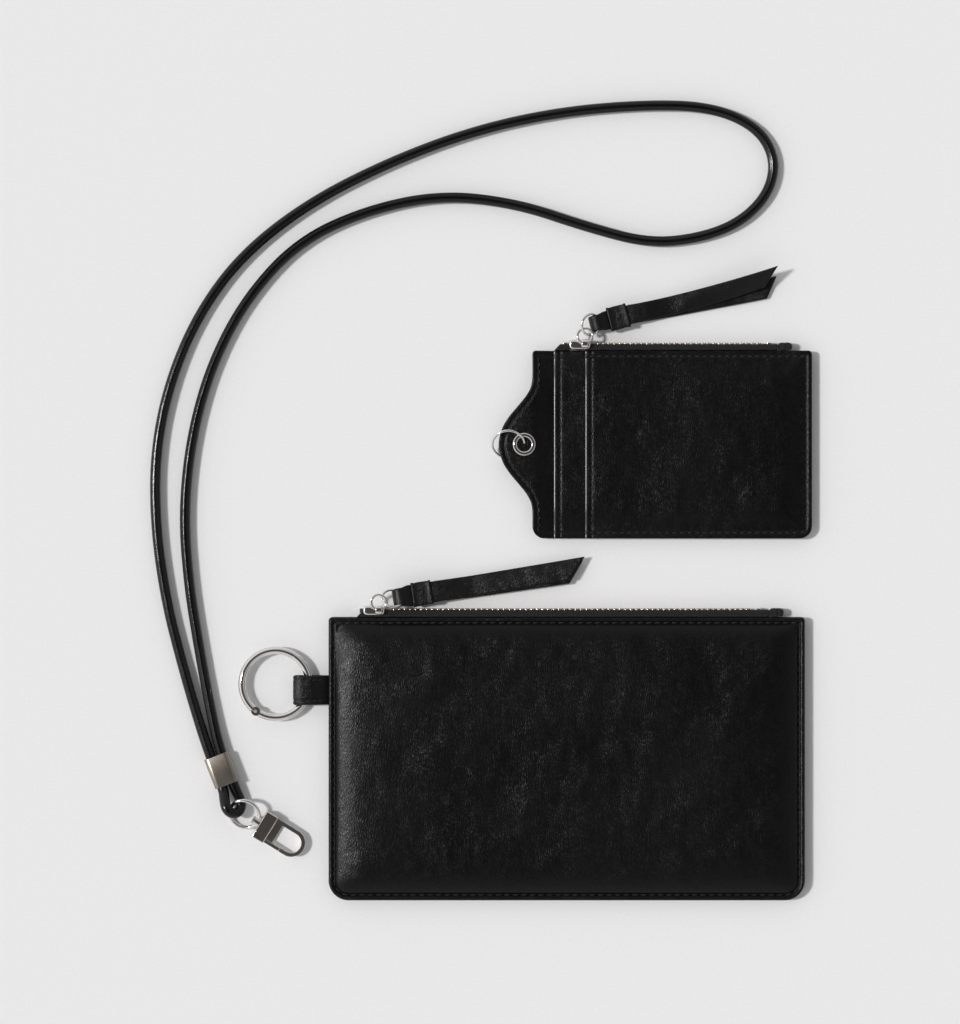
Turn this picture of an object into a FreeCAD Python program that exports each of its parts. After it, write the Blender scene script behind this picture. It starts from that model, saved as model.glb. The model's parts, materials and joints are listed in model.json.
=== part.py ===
import FreeCAD, Part
import math
import os

# Neck pouch wallet: a zipped pouch, a zipped card case and a neck lanyard, lying flat as one set.
# Millimetres. Origin: centre of the pouch's back face. +X along the zip away from its closed end,
# +Y towards the zipped edge, +Z out of the face that carries the key-ring tab.

V = FreeCAD.Vector
UP = V(0, 0, 1)
X_AXIS = V(1, 0, 0)

# ---- driving dimensions: pouch ----
POUCH_W = 190.0
POUCH_H = 113.0
POUCH_CORNER = 8.0
POUCH_TOP_CORNER = 1.5
LEATHER = 1.2
LINING = 0.25
POUCH_BACK_RIM = 2.1
POUCH_FRONT_RIM = 1.9
POUCH_RIM_GAP = 1.0
POUCH_THICK = 9.0
TURNED_EDGE = 6.0
SEAM_INSET = 2.2
THREAD_W = 0.5
THREAD_H = 0.15

# ---- driving dimensions: card case ----
CASE_X0 = -13.8
CASE_X1 = 97.8
CASE_Y0 = 87.8
CASE_Y1 = 162.8
CASE_CORNER = 5.0
CASE_LEATHER = 0.9
CASE_RIM_GAP = 0.8
CASE_RISE = 0.8
CASE_LAYER_LIFT = 0.15
CASE_MARGIN = 5.0
POCKET_ONE_X = -5.2
POCKET_TWO_X = 7.3
POCKET_SEAM = 2.6
POCKET_SEAM_END = 14.0
TAB_APEX = 13.4
TAB_LEATHER = 0.8
TAB_MID_Z = 4.1
RAMP_X0 = -12.4
RAMP_X1 = -6.0
EYELET_X = -17.0
EYELET_Y = 125.4
EYELET_HOLE_R = 2.75
EYELET_FLANGE_R = 4.55
EYELET_FLANGE_T = 0.35
WASHER_T = 0.3
JUMP_R = 6.4
JUMP_WIRE = 0.5
JUMP_TILT_DEG = 34.0

# ---- driving dimensions: zips and pullers ----
TOOTH_PITCH = 2.2
TOOTH_W = 1.0
TOOTH_LONG = 1.25
TOOTH_DEEP = 1.7
ROW_GAP = 0.25
TAPE = 0.4
TAPE_SEWN = 8.0
SLIDER_LONG = 8.4
SLIDER_HALF = 2.6
SLIDER_WALL = 0.35
CROWN_OFFSET = 6.2
CROWN_LONG = 3.2
LOOP_R = 3.0
LOOP_WIRE = 0.55
PULL_RING_R = 4.2
PULL_RING_WIRE = 0.5
STRAP_HALF = 4.3
STRAP_LAYER = 1.1
FOLD_CAVITY = 2.4
FOLD_HALF = 2.6

# ---- driving dimensions: key ring and lanyard ----
KEY_RING = V(-116.2, 29.8, 3.15)
KEY_RING_R = 13.4
KEY_RING_WIRE = 1.5
KEY_RING_HINGE_DEG = 234.0
KEY_RING_SNAP_DEG = 56.0
KEY_TAB_X0 = -109.2
KEY_TAB_Y0 = 21.5
KEY_TAB_Y1 = 33.2
KEY_TAB_LEATHER = 0.8
KEY_TAB_CAVITY = 2.5
CORD_D = 4.2
CORD_Z = CORD_D / 2 + 0.1
FERRULE_TOP = V(-139.9, 1.2, 2.8)
FERRULE_DIR = V(0.364, -0.931, 0)
FERRULE_LONG = 12.4
FERRULE_W = 10.2
FERRULE_T = 5.6
FERRULE_WALL = 0.5
SWIVEL = V(-128.6, -22.1, 3.45)
HOOK_DIR_DEG = -31.8
HOOK_DROP_DEG = 3.0
SWIVEL_TILT_DEG = 25.0
SWIVEL_R = 6.05
SWIVEL_WIRE = 0.75
HOOK_HALF = 5.5
HOOK_BAR = 1.4
HOOK_DEEP = 1.2

os.makedirs("parts", exist_ok=True)
made = []


def export(name, shape):
    """Write one sub-part and note its name."""
    shape.exportStep("parts/" + name + ".step")
    made.append(name)


def block(x0, x1, y0, y1, z0, z1):
    return Part.makeBox(x1 - x0, y1 - y0, z1 - z0, V(x0, y0, z0))


def frame(origin, x_dir, z_hint):
    """Placement whose local x lies along x_dir and whose local z is as near z_hint as it can be."""
    x = V(x_dir).normalize()
    y = z_hint.cross(x).normalize()
    z = x.cross(y)
    m = FreeCAD.Matrix(x.x, y.x, z.x, origin.x, x.y, y.y, z.y, origin.y, x.z, y.z, z.z, origin.z, 0, 0, 0, 1)
    return FreeCAD.Placement(m)


def placed(shape, placement):
    moved = shape.copy()
    moved.Placement = placement.multiply(moved.Placement)
    return moved


def polygon_prism(points, direction):
    """Closed polygon of vectors, extruded along direction."""
    wire = Part.makePolygon(points + [points[0]])
    return Part.Face(wire).extrude(direction)


def rounded_rectangle(x0, x1, y0, y1, low_r, top_r, z):
    """Wire of a rectangle whose two low corners have low_r and whose two high corners have top_r."""
    k = 1 - math.sqrt(0.5)
    corners = [(x1, y0, -1, 1, low_r), (x1, y1, -1, -1, top_r), (x0, y1, 1, -1, top_r), (x0, y0, 1, 1, low_r)]
    edges = []
    previous = V(x0 + low_r, y0, z)
    for i, (cx, cy, sx, sy, r) in enumerate(corners):
        along_x = V(cx + sx * r, cy, z)
        along_y = V(cx, cy + sy * r, z)
        start, end = (along_x, along_y) if i % 2 == 0 else (along_y, along_x)
        edges.append(Part.LineSegment(previous, start).toShape())
        edges.append(Part.Arc(start, V(cx + sx * r * k, cy + sy * r * k, z), end).toShape())
        previous = end
    return Part.Wire(edges)


def inset_rectangle(x0, x1, y0, y1, low_r, top_r, inset, z):
    """The same rectangle moved in by inset on every side."""
    low = max(low_r - inset, 0.5)
    top = max(top_r - inset, 0.5)
    return rounded_rectangle(x0 + inset, x1 - inset, y0 + inset, y1 - inset, low, top, z)


def slab(wire, height):
    return Part.Face(wire).extrude(V(0, 0, height))


def dish(outline, z0, rise, thick, margin, ramp):
    """Sheet that is flat along its rim and lifted by rise inside margin + ramp."""
    plate = slab(inset_rectangle(*outline, 0, z0), thick)
    dome = Part.makeLoft([inset_rectangle(*outline, margin, z0 + thick),
                          inset_rectangle(*outline, margin + ramp, z0 + thick + rise)], True, True)
    hollow = Part.makeLoft([inset_rectangle(*outline, margin, z0),
                            inset_rectangle(*outline, margin + ramp, z0 + rise)], True, True)
    return plate.fuse(dome).cut(hollow)


def band_along(outline, inset, width, z0, height, keep):
    """Closed flat band that follows an outline at an inset, cut down to the box keep."""
    outer = slab(inset_rectangle(*outline, inset - width / 2, z0), height)
    inner = slab(inset_rectangle(*outline, inset + width / 2, z0), height)
    return outer.cut(inner).common(keep)


def ribbon(points, thick, x0, x1):
    """Strip of even thickness whose section follows (y, z) points, extruded along X."""
    left = []
    right = []
    for i, (y, z) in enumerate(points):
        a = points[max(i - 1, 0)]
        b = points[min(i + 1, len(points) - 1)]
        dy = b[0] - a[0]
        dz = b[1] - a[1]
        size = math.hypot(dy, dz) * 2 / thick
        left.append(V(x0, y - dz / size, z + dy / size))
        right.append(V(x0, y + dz / size, z - dy / size))
    return polygon_prism(left + right[::-1], V(x1 - x0, 0, 0))


def tube_path(points):
    """Straight runs joined by tangent arcs as large as each pair of runs allows. Returns wire and radii."""
    edges = []
    radii = []
    previous = points[0]
    for a, b, c in zip(points, points[1:], points[2:]):
        run_in = V(b.sub(a))
        run_out = V(c.sub(b))
        tangent = 0.45 * min(run_in.Length, run_out.Length)
        turn = run_in.getAngle(run_out)
        radius = tangent / math.tan(turn / 2)
        start = b.sub(V(run_in).normalize().multiply(tangent))
        end = b.add(V(run_out).normalize().multiply(tangent))
        middle = start.add(end).multiply(0.5)
        to_corner = b.sub(middle)
        sagitta = radius * (1 - math.cos(turn / 2))
        crown = middle.add(to_corner.normalize().multiply(sagitta))
        edges.append(Part.LineSegment(previous, start).toShape())
        edges.append(Part.Arc(start, crown, end).toShape())
        radii.append(radius)
        previous = end
    edges.append(Part.LineSegment(previous, points[-1]).toShape())
    return Part.Wire(edges), radii


# ======================= pouch =======================
pouch_outline = (-POUCH_W / 2, POUCH_W / 2, -POUCH_H / 2, POUCH_H / 2, POUCH_CORNER, POUCH_TOP_CORNER)
pouch_top = POUCH_H / 2
front_rim_z = POUCH_BACK_RIM + POUCH_RIM_GAP
rim_top_z = front_rim_z + POUCH_FRONT_RIM
front_sheet_z = rim_top_z - LEATHER
front_rise = POUCH_THICK - rim_top_z
everything = block(-300, 300, -300, 300, -50, 50)

back = slab(inset_rectangle(*pouch_outline, 0, 0), POUCH_BACK_RIM)
back = back.cut(slab(inset_rectangle(*pouch_outline, TURNED_EDGE, LEATHER), POUCH_BACK_RIM))
export("pouch_back_panel", back)

front = dish(pouch_outline, front_sheet_z, front_rise, LEATHER, TURNED_EDGE, 9.0)
turned = slab(inset_rectangle(*pouch_outline, 0, front_rim_z), front_sheet_z - front_rim_z)
turned = turned.cut(slab(inset_rectangle(*pouch_outline, TURNED_EDGE, front_rim_z), POUCH_FRONT_RIM))
front = front.fuse(turned)
export("pouch_front_panel", front)

rim_mid_z = POUCH_BACK_RIM + POUCH_RIM_GAP / 2
zip_window = block(-87, 88, pouch_top - TAPE_SEWN - 1.5, pouch_top + 5, POUCH_BACK_RIM, front_rim_z)
top_clear = block(-200, 200, pouch_top - 1.0, pouch_top + 5, 0, 20)
lining_wall = 0.3
back_lining = slab(inset_rectangle(*pouch_outline, 0.8, POUCH_BACK_RIM), POUCH_RIM_GAP / 2)
tray = slab(inset_rectangle(*pouch_outline, TURNED_EDGE + 0.05, LEATHER), rim_mid_z - LEATHER)
tray_room = slab(inset_rectangle(*pouch_outline, TURNED_EDGE + lining_wall, LEATHER + LINING), 9)
back_lining = back_lining.fuse(tray).cut(tray_room)

front_lining = slab(inset_rectangle(*pouch_outline, 0.8, rim_mid_z), POUCH_RIM_GAP / 2)
front_lining = front_lining.fuse(slab(inset_rectangle(*pouch_outline, TURNED_EDGE + 0.05, rim_mid_z),
                                      front_sheet_z - rim_mid_z))
lining_low = [inset_rectangle(*pouch_outline, TURNED_EDGE + 0.1, front_sheet_z - 0.02),
              inset_rectangle(*pouch_outline, TURNED_EDGE + 9.1, front_sheet_z + front_rise - 0.02)]
front_lining = front_lining.fuse(Part.makeLoft(lining_low, True, True))
lining_cut = [inset_rectangle(*pouch_outline, TURNED_EDGE + lining_wall, rim_mid_z - 1),
              inset_rectangle(*pouch_outline, TURNED_EDGE + lining_wall, front_sheet_z - LINING - 0.02)]
lining_dome = [inset_rectangle(*pouch_outline, TURNED_EDGE + lining_wall, front_sheet_z - LINING - 0.02),
               inset_rectangle(*pouch_outline, TURNED_EDGE + 9.3, front_sheet_z + front_rise - LINING - 0.02)]
front_lining = front_lining.cut(Part.makeLoft(lining_cut, True, True))
front_lining = front_lining.cut(Part.makeLoft(lining_dome, True, True))

export("pouch_seam_thread", band_along(pouch_outline, SEAM_INSET, THREAD_W, rim_top_z, THREAD_H, everything))


# ======================= zips =======================
def make_zip(prefix, edge_y, z_front, z_back, zc, ridge_y, tape_x, teeth_x, crown_x, end_tab_x):
    """All the parts of one zip: tapes, two rows of teeth, stops, folded end tab and slider."""
    tooth_y0 = ridge_y - TOOTH_DEEP
    tape_y = tooth_y0 + TOOTH_DEEP / 2
    outer = TOOTH_LONG + ROW_GAP
    for side, sewn_z, sign in (("front", z_front, 1), ("back", z_back, -1)):
        section = [(edge_y - TAPE_SEWN, sewn_z), (edge_y + 0.1, sewn_z),
                   (edge_y + 0.45, zc + sign * (outer + 0.2)), (tape_y - 0.35, zc + sign * (outer + 0.55)),
                   (tape_y, zc + sign * (outer + 0.3)), (tape_y, zc + sign * outer)]
        export(prefix + "_zip_tape_" + side, ribbon(section, TAPE, *tape_x))
        count = int((teeth_x[1] - teeth_x[0]) / TOOTH_PITCH)
        shift = 0 if sign > 0 else TOOTH_PITCH / 2
        low = zc + (ROW_GAP if sign > 0 else -outer)
        teeth = []
        for i in range(count):
            x = teeth_x[0] + shift + i * TOOTH_PITCH
            teeth.append(block(x, x + TOOTH_W, tooth_y0, ridge_y, low, low + TOOTH_LONG))
        export(prefix + "_zip_teeth_" + side, Part.makeCompound(teeth))
    stop_long = 2.0
    stops = []
    for sign in (1, -1):
        low = zc + (ROW_GAP if sign > 0 else -outer)
        x = teeth_x[0] - stop_long - 0.4
        stops.append(block(x, x + stop_long, tooth_y0 - 0.1, ridge_y + 0.1, low, low + TOOTH_LONG))
    export(prefix + "_zip_top_stops", Part.makeCompound(stops))
    x = teeth_x[1] + 0.4
    bottom_stop = block(x, x + stop_long, tooth_y0 - 0.1, ridge_y + 0.1, zc - outer, zc + outer)
    export(prefix + "_zip_bottom_stop", bottom_stop)
    tab = block(end_tab_x[0], end_tab_x[1], edge_y + 0.1, ridge_y, zc - 1.9, zc + 2.4)
    export(prefix + "_zip_end_tab", tab.makeFillet(1.0, tab.Edges))
    return make_slider(prefix, zc, ridge_y, crown_x)


def make_slider(prefix, zc, ridge_y, crown_x):
    """Slider that saddles the ridge of teeth, with a crown on its face for the pull loop."""
    x0 = crown_x - CROWN_OFFSET
    x1 = x0 + SLIDER_LONG
    top_y = ridge_y + 0.9
    low_y = top_y - 3.6
    saddle = block(x0, x1, low_y, top_y, zc - SLIDER_HALF, zc + SLIDER_HALF)
    inner_half = SLIDER_HALF - SLIDER_WALL
    saddle = saddle.cut(block(x0 - 1, x1 + 1, low_y - 1, ridge_y + 0.2, zc - inner_half, zc + inner_half))
    plate_y = ridge_y - TOOTH_DEEP - 0.7
    post = block(x0, x0 + 2.2, plate_y, ridge_y + 0.3, zc - 0.2, zc + 0.2)
    inner_plate = block(x0, x1, plate_y, plate_y + 0.55, zc - 1.0, zc + 1.0)
    body = saddle.fuse(post).fuse(inner_plate)
    face_z = zc + SLIDER_HALF
    mid_y = ridge_y - 0.5
    half = CROWN_LONG / 2
    crown = block(crown_x - half, crown_x + half, mid_y - 1.9, mid_y + 1.7, face_z - 0.1, face_z + 2.5)
    crown = crown.cut(block(crown_x - 3, crown_x + 3, mid_y - 1.25, mid_y + 1.15, face_z - 0.2, face_z + 2.0))
    body = body.fuse(crown).removeSplitter()
    export(prefix + "_zip_slider", body)
    return V(crown_x, mid_y, face_z + 1.0)


def make_puller(prefix, crown, loop_tilt_deg, ring_centre, ring_turns_deg, strap_deg, strap_roll_deg, ends):
    """Wire loop in the crown, jump ring, and a leather strap folded over the ring with its keeper."""
    tilt = math.radians(loop_tilt_deg)
    reach = V(0, math.cos(tilt), math.sin(tilt))
    loop_centre = crown.add(V(reach).multiply(LOOP_R))
    export(prefix + "_pull_loop", Part.makeTorus(LOOP_R, LOOP_WIRE, loop_centre, V(1, 0, 0).cross(reach)))
    angle = math.radians(strap_deg)
    level = V(math.cos(angle), math.sin(angle), 0)
    pitch = math.radians(ring_turns_deg[0])
    sloped = V(level.x * math.cos(pitch), level.y * math.cos(pitch), -math.sin(pitch))
    lean = FreeCAD.Placement(V(0, 0, 0), FreeCAD.Rotation(V(1, 0, 0), ring_turns_deg[1]))
    ring_place = frame(ring_centre, sloped, UP).multiply(lean)
    export(prefix + "_pull_ring", placed(Part.makeTorus(PULL_RING_R, PULL_RING_WIRE), ring_place))
    hinge = ring_place.multVec(V(PULL_RING_R, 0, 0))
    roll = FreeCAD.Placement(V(0, 0, 0), FreeCAD.Rotation(V(1, 0, 0), strap_roll_deg))
    place = frame(hinge, level, UP).multiply(roll)
    start = -PULL_RING_R + 0.3
    top = FOLD_CAVITY + STRAP_LAYER
    flat = STRAP_LAYER + 0.1
    drop = hinge.z - 0.4 - flat - (STRAP_HALF + 0.6) * math.sin(abs(math.radians(strap_roll_deg)))
    short_side, long_side = ends
    far = max(ends) + 1
    side_profile = [(start, -0.9), (start, 0.9), (start + 1.4, top), (1.2, top), (4.0, flat), (14.0, flat),
                    (32.0, flat - drop), (far, flat - drop), (far, -flat - drop), (32.0, -flat - drop),
                    (14.0, -flat), (4.0, -flat), (1.2, -top), (start + 1.4, -top)]
    strap = polygon_prism([V(x, -20, z) for x, z in side_profile], V(0, 40, 0))
    strap = strap.cut(block(start + STRAP_LAYER, 1.5, -20, 20, -FOLD_CAVITY, FOLD_CAVITY))
    outline = [(start - 0.1, -FOLD_HALF), (1.6, -FOLD_HALF), (3.6, -STRAP_HALF), (short_side, -STRAP_HALF),
               (long_side, STRAP_HALF), (3.6, STRAP_HALF), (1.6, FOLD_HALF), (start - 0.1, FOLD_HALF)]
    strap = strap.common(polygon_prism([V(x, y, -20) for x, y in outline], V(0, 0, 40)))
    export(prefix + "_pull_strap", placed(strap, place))
    wall = 0.6
    keeper = block(4.2, 13.4, -STRAP_HALF - wall, STRAP_HALF + wall, -flat - wall, flat + wall)
    keeper = keeper.cut(block(4.0, 13.6, -STRAP_HALF, STRAP_HALF, -flat, flat))
    export(prefix + "_pull_keeper", placed(keeper, place))
    tack = Part.makeCylinder(0.8, 0.25, V(8.6, 0.4, flat + wall))
    export(prefix + "_pull_tack", placed(tack, place))
    print(prefix, "loop hinge", crown, "ring hinge", loop_centre.add(V(LOOP_R, 0, 0)), "axis", reach)
    print(prefix, "strap hinge", hinge, "axis", place.Rotation.multVec(V(0, 1, 0)))


pouch_crown = make_zip("pouch", pouch_top, rim_mid_z + 0.25, rim_mid_z - 0.25, rim_mid_z + 0.1,
                       pouch_top + 3.5, (-84.2, 80.6), (-80.4, 75.0), -74.9, (80.8, 86.6))
make_puller("pouch", pouch_crown, 5.0, V(-69.5, 64.0, 5.4), (16.0, -37.0), 9.0, -8.0, (67.2, 74.4))

# ======================= key-ring tab and ring =======================
tab_top = KEY_RING.z + KEY_TAB_CAVITY + KEY_TAB_LEATHER
key_tab = block(KEY_TAB_X0, -POUCH_W / 2 - 0.05, KEY_TAB_Y0, KEY_TAB_Y1, 0, tab_top)
eye_z = (KEY_TAB_LEATHER, tab_top - KEY_TAB_LEATHER)
key_tab = key_tab.cut(block(KEY_TAB_X0 + 0.9, -99.0, KEY_TAB_Y0 - 1, KEY_TAB_Y1 + 1, *eye_z))
tongue_z = (POUCH_BACK_RIM + 0.02, front_rim_z - 0.02)
tongue = block(-POUCH_W / 2 - 1, -POUCH_W / 2 + 5.5, KEY_TAB_Y0, KEY_TAB_Y1, *tongue_z)
export("key_tab", key_tab.fuse(tongue))

# the linings stop at the tab's sewn end, which lies between the two rims
tab_notch = block(-96, -88.9, KEY_TAB_Y0 - 0.2, KEY_TAB_Y1 + 0.2, POUCH_BACK_RIM, front_rim_z)
export("pouch_back_lining", back_lining.cut(zip_window).cut(top_clear).cut(tab_notch))
export("pouch_front_lining", front_lining.cut(zip_window).cut(top_clear).cut(tab_notch))


def ring_half(start_deg, end_deg):
    """Part of the key ring from one angle to another, counter-clockwise."""
    section = Part.Wire(Part.makeCircle(KEY_RING_WIRE, KEY_RING.add(V(KEY_RING_R, 0, 0)), V(0, 1, 0)))
    half = Part.Face(section).revolve(KEY_RING, UP, end_deg - start_deg)
    half.rotate(KEY_RING, UP, start_deg)
    return half


def ring_point(deg):
    a = math.radians(deg)
    return KEY_RING.add(V(KEY_RING_R * math.cos(a), KEY_RING_R * math.sin(a), 0))


ring_hinge = ring_point(KEY_RING_HINGE_DEG)
knuckle_r = 1.75
knuckle_half = 1.4
ear_z = 0.5
snap_gap_deg = 0.4
hinge_base = ring_hinge.add(V(0, 0, -knuckle_half))
knuckle = Part.makeCylinder(knuckle_r, 2 * knuckle_half, hinge_base)
knuckle_room = Part.makeCylinder(knuckle_r + 0.1, 6, ring_hinge.add(V(0, 0, -3)))
tongue_disc = Part.makeCylinder(knuckle_r, 2 * ear_z, ring_hinge.add(V(0, 0, -ear_z)))
tongue_room = Part.makeCylinder(knuckle_r + 0.1, 2 * ear_z + 0.1, ring_hinge.add(V(0, 0, -ear_z - 0.05)))
middle_layer = block(-200, -50, -50, 100, KEY_RING.z - ear_z, KEY_RING.z + ear_z)
neck = ring_half(KEY_RING_HINGE_DEG - 360, KEY_RING_HINGE_DEG - 350).common(middle_layer)
fixed_half = ring_half(KEY_RING_HINGE_DEG - 360, KEY_RING_SNAP_DEG).cut(knuckle_room)
fixed_half = fixed_half.fuse(tongue_disc).fuse(neck)
opening_half = ring_half(KEY_RING_SNAP_DEG + snap_gap_deg, KEY_RING_HINGE_DEG).fuse(knuckle).cut(tongue_room)
pin_r = 0.6
pin_hole = Part.makeCylinder(pin_r + 0.05, 6, ring_hinge.add(V(0, 0, -3)))
press_hole = Part.makeCylinder(pin_r, 6, ring_hinge.add(V(0, 0, -3)))
export("key_ring_fixed_half", fixed_half.cut(press_hole).removeSplitter())
export("key_ring_opening_half", opening_half.cut(pin_hole).removeSplitter())
export("key_ring_pin", Part.makeCylinder(pin_r, 2 * knuckle_half, hinge_base))

# ======================= card case =======================
case_mid_y = (CASE_Y0 + CASE_Y1) / 2
case_h = CASE_Y1 - CASE_Y0
base_z = CASE_LEATHER + CASE_RIM_GAP
pocket_one_z = base_z + CASE_LEATHER
pocket_two_z = pocket_one_z + CASE_LEATHER
case_rim_top = pocket_two_z + CASE_LEATHER
wide = (CASE_X0 - 40, CASE_X1, CASE_Y0, CASE_Y1, CASE_CORNER, POUCH_TOP_CORNER)
tab_z = TAB_MID_Z - TAB_LEATHER


def right_of(x):
    return block(x, 300, -300, 300, -50, 50)


def bell(z, height):
    """Tab outline: flat apex, rounded shoulders, flaring back to the case's edge."""
    steps = [(26.0, 0.0), (20.8, 1.6), (16.0, 5.2), (11.2, 9.2), (6.4, 12.0), (0.0, TAB_APEX)]
    upper = [V(CASE_X0 - out, case_mid_y + dy, z) for dy, out in steps]
    lower = [V(CASE_X0 - out, case_mid_y - dy, z) for dy, out in steps[-2::-1]]
    curve = Part.BSplineCurve()
    curve.interpolate(upper + lower)
    edges = [curve.toShape(), Part.LineSegment(lower[-1], upper[0]).toShape()]
    return Part.Face(Part.Wire(edges)).extrude(V(0, 0, height))


def left_ramp(z_right, z_left, thick_right, thick_left):
    """Sheet that climbs from the case's body to the lifted left edge."""
    low_corner = rounded_rectangle(CASE_X0, 60, CASE_Y0, CASE_Y1, CASE_CORNER, POUCH_TOP_CORNER, -5)
    profile = [V(RAMP_X1, CASE_Y0, z_right), V(RAMP_X0, CASE_Y0, z_left), V(CASE_X0, CASE_Y0, z_left),
               V(CASE_X0, CASE_Y0, z_left + thick_left), V(RAMP_X0, CASE_Y0, z_left + thick_left),
               V(RAMP_X1, CASE_Y0, z_right + thick_right)]
    return polygon_prism(profile, V(0, case_h, 0)).common(slab(low_corner, 20))


eyelet_axis = V(EYELET_X, EYELET_Y, -5)
barrel_r = EYELET_HOLE_R + 0.2
panel_hole = Part.makeCylinder(barrel_r, 20, eyelet_axis)

case_back = slab(inset_rectangle(*wide, 0, 0), CASE_LEATHER).common(right_of(RAMP_X1))
case_back = case_back.fuse(left_ramp(0, tab_z, CASE_LEATHER, TAB_LEATHER)).fuse(bell(tab_z, TAB_LEATHER))
export("case_back_panel", case_back.cut(panel_hole))

case_base = dish(wide, base_z, CASE_RISE, CASE_LEATHER, CASE_MARGIN, 8.0).common(right_of(RAMP_X1))
case_base = case_base.fuse(left_ramp(base_z + CASE_RISE, TAB_MID_Z, CASE_LEATHER, TAB_LEATHER))
case_base = case_base.fuse(bell(TAB_MID_Z, TAB_LEATHER))
export("case_base_panel", case_base.cut(panel_hole))

pocket_one = dish(wide, pocket_one_z, CASE_RISE + CASE_LAYER_LIFT, CASE_LEATHER, CASE_MARGIN, 8.0)
export("case_pocket_one", pocket_one.common(right_of(POCKET_ONE_X)))
pocket_two = dish(wide, pocket_two_z, CASE_RISE + 2 * CASE_LAYER_LIFT, CASE_LEATHER, CASE_MARGIN, 8.0)
export("case_pocket_two", pocket_two.common(right_of(POCKET_TWO_X)))

case_lining = slab(inset_rectangle(*wide, 0.8, CASE_LEATHER), CASE_RIM_GAP)
case_lining = case_lining.cut(slab(inset_rectangle(*wide, CASE_MARGIN, CASE_LEATHER + LINING), 9))
case_lining = case_lining.common(right_of(-1.5))
case_zip_window = block(-9, 91, CASE_Y1 - TAPE_SEWN - 1.0, CASE_Y1 + 5, CASE_LEATHER, base_z)
export("case_lining", case_lining.cut(case_zip_window).cut(block(-200, 200, CASE_Y1 - 1.0, 300, 0, 20)))

thread_keep = right_of(POCKET_TWO_X + 0.5)
export("case_seam_thread", band_along(wide, 2.4, THREAD_W, case_rim_top, THREAD_H, thread_keep))
for node, x, lift, z in (("case_pocket_one_thread", POCKET_ONE_X, 1, pocket_one_z),
                         ("case_pocket_two_thread", POCKET_TWO_X, 2, pocket_two_z)):
    seam_z = z + CASE_LEATHER + CASE_RISE + lift * CASE_LAYER_LIFT
    seam_x = x + POCKET_SEAM
    export(node, block(seam_x - THREAD_W / 2, seam_x + THREAD_W / 2, CASE_Y0 + POCKET_SEAM_END,
                       CASE_Y1 - POCKET_SEAM_END, seam_z, seam_z + THREAD_H))

tab_top_z = TAB_MID_Z + TAB_LEATHER
flange = Part.makeCylinder(EYELET_FLANGE_R, EYELET_FLANGE_T, V(EYELET_X, EYELET_Y, tab_top_z))
barrel_low = V(EYELET_X, EYELET_Y, tab_z - EYELET_FLANGE_T)
barrel = Part.makeCylinder(barrel_r, tab_top_z - barrel_low.z, barrel_low)
eyelet_hole = Part.makeCylinder(EYELET_HOLE_R, 20, eyelet_axis)
export("case_eyelet", flange.fuse(barrel).cut(eyelet_hole).removeSplitter())
washer = Part.makeCylinder(EYELET_FLANGE_R - 0.2, WASHER_T, V(EYELET_X, EYELET_Y, tab_z - WASHER_T))
export("case_eyelet_washer", washer.cut(panel_hole))

jump_centre = V(EYELET_X - JUMP_R + 0.1, EYELET_Y, TAB_MID_Z)
jump_tilt = math.radians(JUMP_TILT_DEG)
jump_normal = V(0, -math.sin(jump_tilt), math.cos(jump_tilt))
export("case_jump_ring", Part.makeTorus(JUMP_R, JUMP_WIRE, jump_centre, jump_normal))

case_zip_mid = CASE_LEATHER + CASE_RIM_GAP / 2
case_crown = make_zip("case", CASE_Y1, case_zip_mid + 0.2, case_zip_mid - 0.2, 2.7, CASE_Y1 + 3.2,
                      (-5.4, 84.0), (1.0, 79.4), 7.2, (84.2, 90.0))
make_puller("case", case_crown, -5.0, V(9.4, 173.1, 5.8), (30.0, 20.0), 14.5, 0.0, (72.5, 71.5))

# ======================= lanyard =======================
ferrule_place = frame(FERRULE_TOP, FERRULE_DIR, UP)
half_w = FERRULE_W / 2
half_t = FERRULE_T / 2
ferrule = block(0, FERRULE_LONG, -half_w, half_w, -half_t, half_t)
long_edges = [e for e in ferrule.Edges if abs(e.tangentAt(0).x) > 0.9]
ferrule = ferrule.makeFillet(2.0, long_edges)
bore_w = half_w - FERRULE_WALL
bore_t = half_t - FERRULE_WALL
bore = block(-1, FERRULE_LONG + 1, -bore_w, bore_w, -bore_t, bore_t)
bore_edges = [e for e in bore.Edges if abs(e.tangentAt(0).x) > 0.9]
export("lanyard_ferrule", placed(ferrule.cut(bore.makeFillet(1.5, bore_edges)), ferrule_place))

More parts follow.
